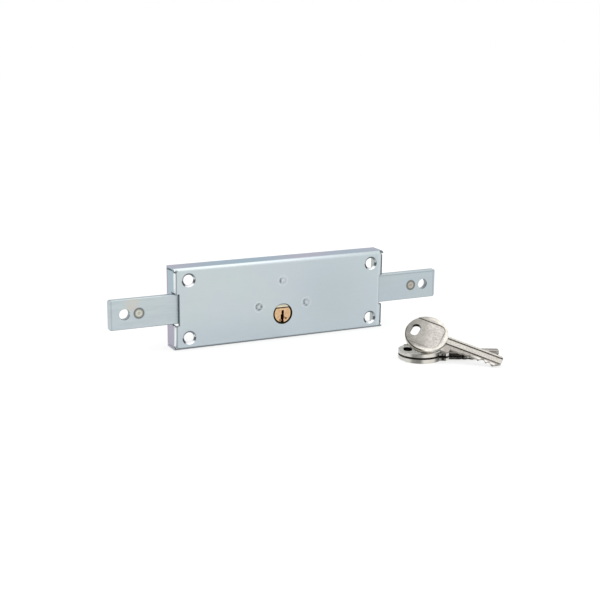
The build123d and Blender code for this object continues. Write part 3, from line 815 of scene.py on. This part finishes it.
def bar_zinc(bar, base, seed):
    """A bar's plating: painted shade below, on the top and the ends, in lines by its end and on the
    right bar below its top, patchy painted shade inside the eye, and a dark line round the stud.
    """
    material, tree, shader = new_material(bar + "_zinc")
    x, _, z = place_in_mm(tree)
    facing = place_group(tree, FACING).outputs
    tone = zinc_tone(tree, base, seed)
    # Painted shade on surfaces facing down
    tone = paint(tree, tone, FOLD_SHADE, rise_over(tree, facing["Up"], -0.3, -0.8))
    dull = rise_over(tree, grain(tree, DRAWN_X), 0.42, 0.62)
    tone = paint(tree, tone, BAR_DULL, dull, 0.4)
    if bar == "left_bar":
        tone = warm_patch(tree, tone, seed)
    # Painted shade on the top face
    tone = paint(tree, tone, BAR_TOP_SHADE, rise_over(tree, facing["Up"], 0.5, 0.9))
    end = rise_over(tree, maths(tree, "ABSOLUTE", facing["Right"], 0), 0.4, 0.8)
    tone = paint(tree, tone, FOLD_SHADE, end, 0.15)
    low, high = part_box(bar)
    reach = max(-low.x, high.x) / MM
    lines = line_at(tree, maths(tree, "ABSOLUTE", x, 0), reach - 1.5, 0.6)
    if bar == "right_bar":
        lines = any_of(tree, lines, line_at(tree, z, high.z / MM - 1.2, 0.6))
    tone = paint(tree, tone, FOLD_SHADE, lines, 0.28)
    eye = mount(bar + "_eye")
    eye_r = eye["dims"]["r_mm"]
    from_eye, _, _ = around(tree, eye["pos_m"])
    spots = ramp(tree, cloud(tree, 600.0, 7.0, seed + 2.0), 0.1, 1.0)
    eye_wall = all_of(tree, rise_over(tree, from_eye, eye_r + 0.3, eye_r + 0.1), spots)
    tone = paint(tree, tone, FOLD_SHADE, eye_wall, 0.9)
    from_stud, _, _ = around(tree, centre_of(bar + "_stud"))
    tone = paint(tree, tone, FOLD_SHADE, line_at(tree, from_stud, STUD_RIM_R, 0.35), 0.6)
    zinc_finish(tree, shader, tone, ALONG_X)
    return material


def stud_steel(stud):
    """Riveted end of a stud: turned rings and a dark line round it."""
    light, dark, seed = STUDS[stud]
    material, tree, shader = new_material(stud + "_steel")
    centre = centre_of(stud)
    rings = place_group(tree, RINGS, Centre=centre, Pitch=2.1 * MM).outputs["Height"]
    stain = cloud(tree, 500.0, 3.0, seed)
    radius, _, _ = around(tree, centre)
    tone = tint(tree, stain, dark, light)
    furrows = rise_over(tree, rings, -0.2, 0.9)
    tone = paint(tree, tone, share_of(dark, (0.75, 0.75, 0.75)), furrows, 0.75)
    turned = any_of(tree, line_at(tree, radius, 1.5, 0.55), rise_over(tree, radius, 0.6, 0.3))
    tone = paint(tree, tone, share_of(light, (1.25, 1.25, 1.25)), turned, 0.55)
    tone = paint(tree, tone, MARK_SHADE, rise_over(tree, radius, 2.5, 3.0), 0.9)
    join(tree, tone, shader.inputs["Base Color"])
    join(tree, ramp(tree, stain, 0.45, 0.35), shader.inputs["Roughness"])
    bump(tree, shader, rings, 0.00003)
    return material


def nose_brass():
    """Plug: faced brass nose with faint stains and nicks; grease in the keyway; grease and painted
    shade on its edge, wider at the left, and beside its flat.
    """
    material, tree, shader = new_material("plug_brass")
    _, y, z = place_in_mm(tree)
    centre_x, centre_y, centre_z = centre = centre_of("driver_gear")
    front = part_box("plug")[0].y / MM
    radius, across, _ = around(tree, centre)
    stain = cloud(tree, 520.0, 3.0, 4.0)
    tone = tint(tree, stain, NOSE_STAIN, NOSE_BRASS)
    on_face = rise_over(tree, y, front + 0.5, front + 0.2)
    for right, up, reach, strength in NOSE_NICKS:
        place = (centre_x + right * MM, centre_y, centre_z + up * MM)
        from_nick, _, _ = around(tree, place)
        nick = all_of(tree, rise_over(tree, from_nick, reach, reach * 0.3), on_face)
        tone = paint(tree, tone, NICK_BROWN, nick, strength)
    keyway = all_of(
        tree,
        rise_over(tree, y, front + 0.1, front + 0.5),
        rise_over(tree, radius, NOSE_R, NOSE_R - 0.4),
        rise_over(tree, place_group(tree, FACING).outputs["Back"], 0.9, 0.6),
    )
    tone = paint(tree, tone, KEYWAY_GREASE, keyway)
    on_nose = rise_over(tree, y, *NOSE_DEPTH_Y)
    wider_left = ramp(tree, rise_over(tree, across, 0.3, -0.4), 0.0, 0.35)
    edge_r = maths(tree, "ADD", radius, wider_left)
    edge = all_of(tree, rise_over(tree, edge_r, NOSE_R - 0.45, NOSE_R - 0.2), on_nose)
    tone = paint(tree, tone, GREASE_AND_SHADE, edge)
    flat_z = centre_z / MM + NOSE_FLAT
    by_flat = all_of(tree, rise_over(tree, z, flat_z - 0.45, flat_z - 0.2), on_nose)
    tone = paint(tree, tone, GREASE_AND_SHADE, by_flat)
    join(tree, tone, shader.inputs["Base Color"])
    join(tree, ramp(tree, stain, 0.48, 0.36), shader.inputs["Roughness"])
    rings = place_group(tree, RINGS, Centre=centre, Pitch=0.6 * MM).outputs["Height"]
    bump(tree, shader, rings, 0.000008)
    return material


def gear_steel():
    """Gear: pale machined tongue in the face; grease and painted shade round its rim, darker at the
    right, above its flat, and deeper in on the teeth behind it.
    """
    material, tree, shader = new_material("gear_steel")
    _, y, z = place_in_mm(tree)
    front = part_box("driver_gear")[0].y / MM
    centre = centre_of("driver_gear")
    middle_z = centre[2] / MM
    flat_z = middle_z + NOSE_FLAT
    radius, across, _ = around(tree, centre)
    stain = cloud(tree, 400.0, 2.0, 6.0)
    rise = rise_over(tree, z, middle_z + 5.0, middle_z + 6.6)
    tone = tint(tree, rise, TONGUE_CREAM, TONGUE_GREY)
    tone = paint(tree, tone, TONGUE_GREY, stain, 0.2)
    rim = rise_over(tree, radius, NOSE_R - 0.1, NOSE_R + 0.25)
    tone = paint(tree, tone, GREASE_AND_SHADE, rim, 0.45)
    right_rim = all_of(tree, rim, rise_over(tree, across, 0.2, 0.6))
    tone = paint(tree, tone, GREASE_AND_SHADE, right_rim, 0.8)
    tone = paint(tree, tone, GREASE_AND_SHADE, rise_over(tree, z, flat_z + 0.6, flat_z + 0.4))
    tone = paint(tree, tone, GREASE_AND_SHADE, rise_over(tree, y, front + 0.15, front + 0.6))
    join(tree, tone, shader.inputs["Base Color"])
    join(tree, ramp(tree, stain, 0.35, 0.5), shader.inputs["Roughness"])
    bump(tree, shader, stain, 0.00001)
    return material


def plain_metal(name, light, dark, seed):
    """Metal with fine tool marks and soft stains."""
    material, tree, shader = new_material(name)
    stain = cloud(tree, 180.0, 1.8, seed)
    marks = grain(tree, EVEN)
    join(tree, tint(tree, stain, dark, light), shader.inputs["Base Color"])
    join(tree, ramp(tree, marks, 0.3, 0.45), shader.inputs["Roughness"])
    bump(tree, shader, marks, 0.00001)
    return material


def key_axes(node):
    """Middle of a key's bow, and its directions along, across and out, found from its faces."""
    mesh = frame["nodes"][node].data
    areas = {}
    for face in mesh.polygons:
        normal = face.normal if face.normal.dot(Vector((0.1, 0.2, 1))) > 0 else -face.normal
        way = tuple(round(c, 2) for c in normal)
        areas[way] = areas.get(way, 0) + face.area
    ways = [Vector(way).normalized() for way in sorted(areas, key=areas.get, reverse=True)]
    out = ways[0]
    across = next(way for way in ways if abs(way.dot(out)) < 0.02)
    along = across.cross(out)
    points = [vertex.co for vertex in mesh.vertices]
    widest = max(points, key=lambda p: p.dot(across))
    reach = [p.dot(along) for p in points]
    if widest.dot(along) > (min(reach) + max(reach)) / 2:
        along = -along
    across = out.cross(along)
    reach, width, depth = ([p.dot(way) for p in points] for way in (along, across, out))
    bow_r = (max(width) - min(width)) / 2
    middle = along * (min(reach) + bow_r)
    middle += across * (max(width) - bow_r)
    middle += out * (max(depth) + min(depth)) / 2
    return middle, along, across, out


def key_place(tree, node):
    """Where a point of a key lies, in millimetres: along, across and out, and off the middle."""
    middle, along, across, out = key_axes(node)
    place = place_group(
        tree, KEY_PLACE, Middle=middle, Along=along, Across=across, Out=out
    ).outputs
    from_middle = distance(tree, place["Along"], place["Across"])
    depth = maths(tree, "ABSOLUTE", place["Out"], 0)
    return SimpleNamespace(
        along=place["Along"],
        across=place["Across"],
        out=place["Out"],
        depth=depth,
        from_middle=from_middle,
    )


def key_tone(tree, at, stain, seed, lies_flat):
    """Satin bow with stains, painted shading from dark at its eye end to light towards the blade,
    and painted sheen in patches on the flat keys; a lighter blade, a dull wing.
    """
    slanted = maths(tree, "ADD", at.along, maths(tree, "MULTIPLY", at.across, BOW_SLANT))
    toward_blade = ramp(tree, rise_over(tree, slanted, *BOW_BRIGHTENS_X), 0.0, 0.85)
    # Stains, with painted shading from dark at the eye end to light towards the blade
    stain_and_shading = maths(tree, "ADD", ramp(tree, stain, -0.08, 0.25), toward_blade)
    tone = tint(tree, stain_and_shading, BOW_STAIN_AND_SHADE, BOW_NICKEL)
    if lies_flat:
        # Painted sheen in patches on the flat keys
        tone = paint(tree, tone, FLAT_KEY_SHEEN, ramp(tree, stain, 0.65, 1.0))
    mottle = cloud(tree, 650.0, 5.0, seed + 11.0)
    tone = paint(tree, tone, BOW_STAIN_AND_SHADE, ramp(tree, mottle, -0.1, 0.22))
    on_blade = rise_over(tree, at.along, BLADE_FROM - 1.0, BLADE_FROM + 1.0)
    tone = paint(tree, tone, BLADE_NICKEL, on_blade, 0.85)
    on_wing = all_of(tree, on_blade, rise_over(tree, at.across, STEP_Y - 0.3, STEP_Y - 0.8))
    return paint(tree, tone, WING_NICKEL, on_wing, 0.8)


def rim_tones(tree, tone, at, stain, seed, lies_flat):
    """The bow's wall with its soft reflections, and the lit edge round its face."""
    on_bow = rise_over(tree, at.along, BOW_R, BOW_R - 1.0)
    wall = all_of(tree, rise_over(tree, at.from_middle, BOW_R - 0.25, BOW_R - 0.1), on_bow)
    streaks = ramp(tree, cloud(tree, 150.0, 6.0, seed + 19.0), 0.75, 1.0)
    band = line_at(tree, at.along, WALL_BAND_X, 5.0)
    bands = any_of(tree, band, rise_over(tree, at.along, *WALL_END_X))
    wall_tone = tint(tree, line_at(tree, at.along, WALL_LIGHT_X, 5.0), WALL_GREY, RIM_LIGHT)
    band_strength = 0.8 if lies_flat else 0.3
    wall_tone = paint(tree, wall_tone, WALL_DARK, all_of(tree, bands, streaks), band_strength)
    tone = paint(tree, tone, wall_tone, wall)
    lit_from = -16.0 if lies_flat else -5.0
    lit = all_of(
        tree,
        rise_over(tree, at.from_middle, BOW_R - 2.8, BOW_R - 1.6),
        rise_over(tree, at.from_middle, BOW_R - 0.1, BOW_R - 0.25),
        rise_over(tree, at.along, lit_from, lit_from + 6.0),
        on_bow,
        ramp(tree, stain, 0.4, 1.0),
    )
    return paint(tree, tone, RIM_LIGHT, lit, 0.7)


def eye_place(tree, at):
    """Mask of the wall inside the bow's long eye, and millimetres along from the eye's middle."""
    past_half = maths(tree, "SUBTRACT", maths(tree, "ABSOLUTE", at.across, 0), EYE_HALF_L)
    along_eye = maths(tree, "ADD", at.along, EYE_X)
    from_eye = distance(tree, maths(tree, "MAXIMUM", past_half, 0), along_eye)
    in_eye = rise_over(tree, from_eye, EYE_R + 0.2, EYE_R + 0.05)
    return all_of(tree, in_eye, rise_over(tree, at.depth, 1.5, 1.2)), along_eye


def flat_key_shades(tree, tone, at, seed, gap_side):
    """Two keys one on the other: painted shadow in the eye, the gap, round the collar and on the
    blades, a painted shadow under the leaning bow, painted shade on the walls of the cuts, and
    painted highlights at the shoulder and on the edges of the cuts.
    """
    eye_wall, _ = eye_place(tree, at)
    tone = paint(tree, tone, KEY_SHADOW, eye_wall)
    to_gap = maths(tree, "MULTIPLY", at.out, gap_side)
    gap = all_of(
        tree,
        rise_over(tree, to_gap, *GAP_DEPTH[gap_side]),
        rise_over(tree, at.from_middle, BOW_R - 0.8, BOW_R - 0.4),
    )
    tone = paint(tree, tone, KEY_SHADOW, gap)
    patchy = ramp(tree, cloud(tree, 620.0, 8.0, seed + 3.0), 0.45, 1.0)
    past_collar = rise_over(tree, at.along, SHOULDER_X, SHOULDER_X + 1.0)
    blade_shade = all_of(
        tree,
        rise_over(tree, at.along, BOW_R - 1.5, BOW_R),
        rise_over(tree, at.along, SHOULDER_X + 22.0, SHOULDER_X + 14.0),
        rise_over(tree, at.across, -0.6, -1.4),
        any_of(tree, patchy, ramp(tree, past_collar, 0.0, 0.85)),
    )
    if gap_side < 0:
        on_collar = maths(tree, "SUBTRACT", 1.0, past_collar)
        lower_half = any_of(tree, on_collar, rise_over(tree, at.out, 0.35, -0.25))
        blade_shade = all_of(tree, blade_shade, ramp(tree, lower_half, 0.4, 1.0))
    tone = paint(tree, tone, KEY_SHADOW, blade_shade, 0.95)
    # Painted shadow under the leaning key's bow
    contact_shadow = all_of(
        tree,
        line_at(tree, at.along, CONTACT_X, 2.8),
        rise_over(tree, at.across, -8.5, -10.5),
        rise_over(tree, at.across, -13.8, -12.8),
        rise_over(tree, at.out, 1.1, 1.3),
    )
    tone = paint(tree, tone, KEY_SHADE, contact_shadow, 0.65)
    # Painted highlight at the end of the shoulder
    shoulder = all_of(
        tree,
        rise_over(tree, at.along, SHOULDER_X - 1.9, SHOULDER_X - 1.5),
        rise_over(tree, at.along, SHOULDER_X + 0.5, SHOULDER_X + 0.2),
        rise_over(tree, at.across, *SHOULDER_Y),
    )
    tone = paint(tree, tone, CUT_HIGHLIGHT, shoulder, 0.9)
    cut_wall = all_of(
        tree,
        rise_over(tree, place_group(tree, FACING).outputs["Up"], 0.9, 0.6),
        rise_over(tree, at.along, *FLAT_CUTS_FROM),
        rise_over(tree, at.along, *FLAT_CUTS_TO),
    )
    tone = paint(tree, tone, KEY_SHADE, cut_wall, 0.45)
    return paint(tree, tone, CUT_HIGHLIGHT, all_of(tree, cut_wall, rise_over(tree, at.out, -0.15, 0.1)))


def leaning_key_shades(tree, tone, at):
    """The key on top: painted highlights on the lands between the cuts with a painted shade line
    along them, painted shade in the eye, and a painted shade line along the bow's edge.
    """
    lands = all_of(
        tree,
        rise_over(tree, at.across, *LANDS_Y),
        rise_over(tree, at.along, *LANDS_FROM),
        rise_over(tree, at.along, *LANDS_TO),
    )
    tone = paint(tree, tone, CUT_HIGHLIGHT, lands, 0.5)
    land_edge = all_of(
        tree,
        rise_over(tree, at.across, *LAND_EDGE_Y),
        rise_over(tree, at.along, *LAND_EDGE_FROM),
    )
    tone = paint(tree, tone, KEY_SHADE, land_edge, 0.6)
    eye_wall, along_eye = eye_place(tree, at)
    tone = paint(tree, tone, KEY_SHADE, eye_wall, 0.7)
    upper_wall = all_of(
        tree,
        eye_wall,
        rise_over(tree, at.across, -0.5, 1.5),
        rise_over(tree, along_eye, 1.4, 0.4),
    )
    tone = paint(tree, tone, KEY_SHADOW, upper_wall)
    edge = all_of(
        tree,
        rise_over(tree, at.out, 0.7, 1.0),
        rise_over(tree, at.from_middle, BOW_R - 0.7, BOW_R - 0.5),
        rise_over(tree, at.along, 5.0, 1.0),
        ramp(tree, rise_over(tree, at.across, 4.0, -2.0), 0.25, 1.0),
    )
    return paint(tree, tone, RIM_SHADE, edge)


def panel_line(tree, tone, at, stain):
    """Painted shade line where the panel is sunk into the bow, fainter at its lower right."""
    half_w = maths(tree, "ABSOLUTE", at.across, 0)
    past_end = maths(tree, "SUBTRACT", at.along, PANEL_END - PANEL_CORNER_R)
    past_side = maths(tree, "SUBTRACT", half_w, PANEL_HALF_H - PANEL_CORNER_R)
    end_part = maths(tree, "MAXIMUM", past_end, 0)
    side_part = maths(tree, "MAXIMUM", past_side, 0)
    corner = distance(tree, end_part, side_part)
    inner = maths(tree, "MINIMUM", maths(tree, "MAXIMUM", past_end, past_side), 0)
    from_edge = maths(tree, "SUBTRACT", maths(tree, "ADD", corner, inner), PANEL_CORNER_R)
    lower_right = all_of(
        tree,
        rise_over(tree, at.along, 1.0, 5.0),
        rise_over(tree, at.across, 2.0, -3.0),
    )
    line = all_of(
        tree,
        line_at(tree, from_edge, -0.1, 0.6),
        rise_over(tree, at.depth, *PANEL_DEPTH),
        ramp(tree, stain, 0.5, 1.0),
        ramp(tree, lower_right, 1.0, 0.5),
    )
    return paint(tree, tone, KEY_SHADE, line, 0.8)


def milled_lines(tree, tone, at, stain):
    """Painted shade lines in the blade's groove and along its step, the step's line fading towards
    the tip.
    """
    toward_bow = ramp(tree, rise_over(tree, at.along, *STEP_FADES_X), 0.25, 1.0)
    step = all_of(tree, line_at(tree, at.across, STEP_Y - 0.25, 0.5), toward_bow)
    lines = all_of(
        tree,
        any_of(tree, line_at(tree, at.across, GROOVE_Y, 0.75), step),
        rise_over(tree, at.along, BLADE_FROM - 0.3, BLADE_FROM + 0.3),
        rise_over(tree, at.out, 0.1, 0.3),
        ramp(tree, stain, 0.5, 0.8),
    )
    return paint(tree, tone, KEY_SHADE, lines)


def key_nickel(node):
    """A nickel-plated key: satin speckled bow and rim, a lighter blade, painted light and shade,
    among them painted shade lines in its milled groove and step.
    """
    seed, gap_side = KEYS[node]
    lies_flat = gap_side != 0
    material, tree, shader = new_material(node + "_nickel")
    at = key_place(tree, node)
    stain = cloud(tree, 190.0, 2.6, seed)
    speck = cloud(tree, 1300.0, 5.0, seed + 7.0)
    tone = key_tone(tree, at, stain, seed, lies_flat)
    tone = paint(tree, tone, BOW_STAIN_AND_SHADE, speck, 0.3)
    tone = rim_tones(tree, tone, at, stain, seed, lies_flat)
    if lies_flat:
        tone = flat_key_shades(tree, tone, at, seed, gap_side)
    else:
        tone = leaning_key_shades(tree, tone, at)
    tone = panel_line(tree, tone, at, stain)
    tone = milled_lines(tree, tone, at, stain)
    join(tree, tone, shader.inputs["Base Color"])
    join(tree, ramp(tree, speck, 0.3, 0.44), shader.inputs["Roughness"])
    bump(tree, shader, speck, 0.000012)
    return material


def dress(node, material, edge=0.0):
    """Gives a CAD node its material and, if asked, softly rounded edges."""
    piece = frame["nodes"][node]
    piece.data.materials.clear()
    piece.data.materials.append(material)
    for polygon in piece.data.polygons:
        polygon.material_index = 0
    if edge:
        weld = piece.modifiers.new("weld", "WELD")
        weld.merge_threshold = WELD_REACH
        bevel = piece.modifiers.new("edge", "BEVEL")
        bevel.width = edge * MM
        bevel.segments = 2
        bevel.limit_method = "ANGLE"
        bevel.angle_limit = radians(EDGE_ANGLE)
        bevel.harden_normals = True


def dress_lock():
    """Case, bars, studs, posts and the nose of the cylinder."""
    dress("case", case_zinc(), SHEET_EDGE)
    dress("back_plate", plate_zinc(), SHEET_EDGE)
    dress("left_bar", bar_zinc("left_bar", LEFT_BAR_ZINC, 40.0), BAR_EDGE)
    dress("right_bar", bar_zinc("right_bar", RIGHT_BAR_ZINC, 60.0), BAR_EDGE)
    plated_post = post_zinc()
    for post in STAKES:
        dress(post, plated_post)
    for stud in STUDS:
        dress(stud, stud_steel(stud), FINE_EDGE)
    dress("plug", nose_brass(), FINE_EDGE)
    dress("driver_gear", gear_steel(), FINE_EDGE)


def dress_inner_pieces():
    """Cylinder body and its small pieces behind the face, and the pins and springs in it."""
    for piece, (name, light, dark, seed, edge) in INNER_PIECES.items():
        dress(piece, plain_metal(name, light, dark, seed), edge)
    pin_brass = plain_metal("pin_brass", PIN_LIGHT, PIN_DARK, 9.0)
    spring_wire = plain_metal("spring_wire", WIRE_LIGHT, WIRE_DARK, 11.0)
    for node in frame["nodes"]:
        if node.startswith(("key_pin", "driver_pin")):
            dress(node, pin_brass)
        if node.startswith("pin_spring"):
            dress(node, spring_wire)


def dress_keys():
    """The two flat keys and the one that leans on them."""
    for key in KEYS:
        dress(key, key_nickel(key), KEY_EDGE)


def background_rays(tree):
    """1 for the rays that see the background: the camera's, and those off or through the part."""
    path = add(tree, "ShaderNodeLightPath")
    seen = any_of(tree, path.outputs["Is Camera Ray"], path.outputs["Is Glossy Ray"])
    return any_of(tree, seen, path.outputs["Is Transmission Ray"])


def floor():
    """White floor a hair under the case's lower flange; it keeps a soft shadow."""
    low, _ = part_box("case")
    half = FLOOR_SIZE / 2
    level = low.z - FLOOR_GAP
    mesh = bpy.data.meshes.new("floor")
    corners = [(x * half, y * half, level) for x, y in ((-1, -1), (1, -1), (1, 1), (-1, 1))]
    mesh.from_pydata(corners, [], [(0, 1, 2, 3)])
    sheet = bpy.data.objects.new("floor", mesh)
    bpy.context.scene.collection.objects.link(sheet)
    material, tree, shader = new_material("floor_paper", metallic=0.0)
    shader.inputs["Base Color"].default_value = (FLOOR_SHADE, FLOOR_SHADE, FLOOR_SHADE, 1)
    shader.inputs["Roughness"].default_value = FLOOR_ROUGH
    shader.inputs["Specular IOR Level"].default_value = 0.0
    share = maths(tree, "MULTIPLY", background_rays(tree), FLOOR_GLOW)
    glow = add(tree, "ShaderNodeEmission")
    mix = add(tree, "ShaderNodeMixShader")
    join(tree, share, mix.inputs[0])
    join(tree, shader.outputs[0], mix.inputs[1])
    join(tree, glow.outputs[0], mix.inputs[2])
    join(tree, mix.outputs[0], tree.nodes["Material Output"].inputs["Surface"])
    mesh.materials.append(material)


def sky():
    """White background, and a plain even tent of light."""
    world = bpy.data.worlds.new("studio")
    bpy.context.scene.world = world
    world.use_nodes = True
    tree = world.node_tree
    tent = tree.nodes["Background"]
    tent.inputs["Color"].default_value = (*TENT, 1)
    white = add(tree, "ShaderNodeBackground")
    white.inputs["Color"].default_value = (1, 1, 1, 1)
    mix = add(tree, "ShaderNodeMixShader")
    join(tree, background_rays(tree), mix.inputs[0])
    join(tree, tent.outputs[0], mix.inputs[1])
    join(tree, white.outputs[0], mix.inputs[2])
    join(tree, mix.outputs[0], tree.nodes["World Output"].inputs["Surface"])


def softbox(name, at, size, watts):
    """Square area light aimed at the lock."""
    lamp = bpy.data.lights.new(name, "AREA")
    lamp.size = size
    lamp.energy = watts
    light = bpy.data.objects.new(name, lamp)
    bpy.context.scene.collection.objects.link(light)
    light.location = at
    light.rotation_mode = "QUATERNION"
    light.rotation_quaternion = (-Vector(at)).to_track_quat("-Z", "Y")


def camera():
    """Camera at the photograph's place and angle."""
    yaw, pitch, roll = (radians(a) for a in (CAMERA_YAW, CAMERA_PITCH, CAMERA_ROLL))
    ahead = Vector((sin(yaw) * cos(pitch), cos(yaw) * cos(pitch), -sin(pitch)))
    right = Vector((cos(yaw), -sin(yaw), 0))
    up = right.cross(ahead)
    right, up = right * cos(roll) + up * sin(roll), up * cos(roll) - right * sin(roll)
    data = bpy.data.cameras.new("camera")
    data.lens = CAMERA_LENS
    data.sensor_width = SENSOR
    data.clip_start = CAMERA_NEAR
    data.clip_end = CAMERA_FAR
    eye = bpy.data.objects.new("camera", data)
    bpy.context.scene.collection.objects.link(eye)
    turn = Matrix((right, up, -ahead)).transposed()
    eye.matrix_world = Matrix.Translation(CAMERA_AT) @ turn.to_4x4()
    bpy.context.scene.camera = eye


dress_lock()
dress_inner_pieces()
dress_keys()
floor()
sky()
softbox("overhead_softbox", OVERHEAD_AT, OVERHEAD_SIZE, OVERHEAD_WATTS)
camera()
bpy.context.scene.view_settings.view_transform = "Standard"
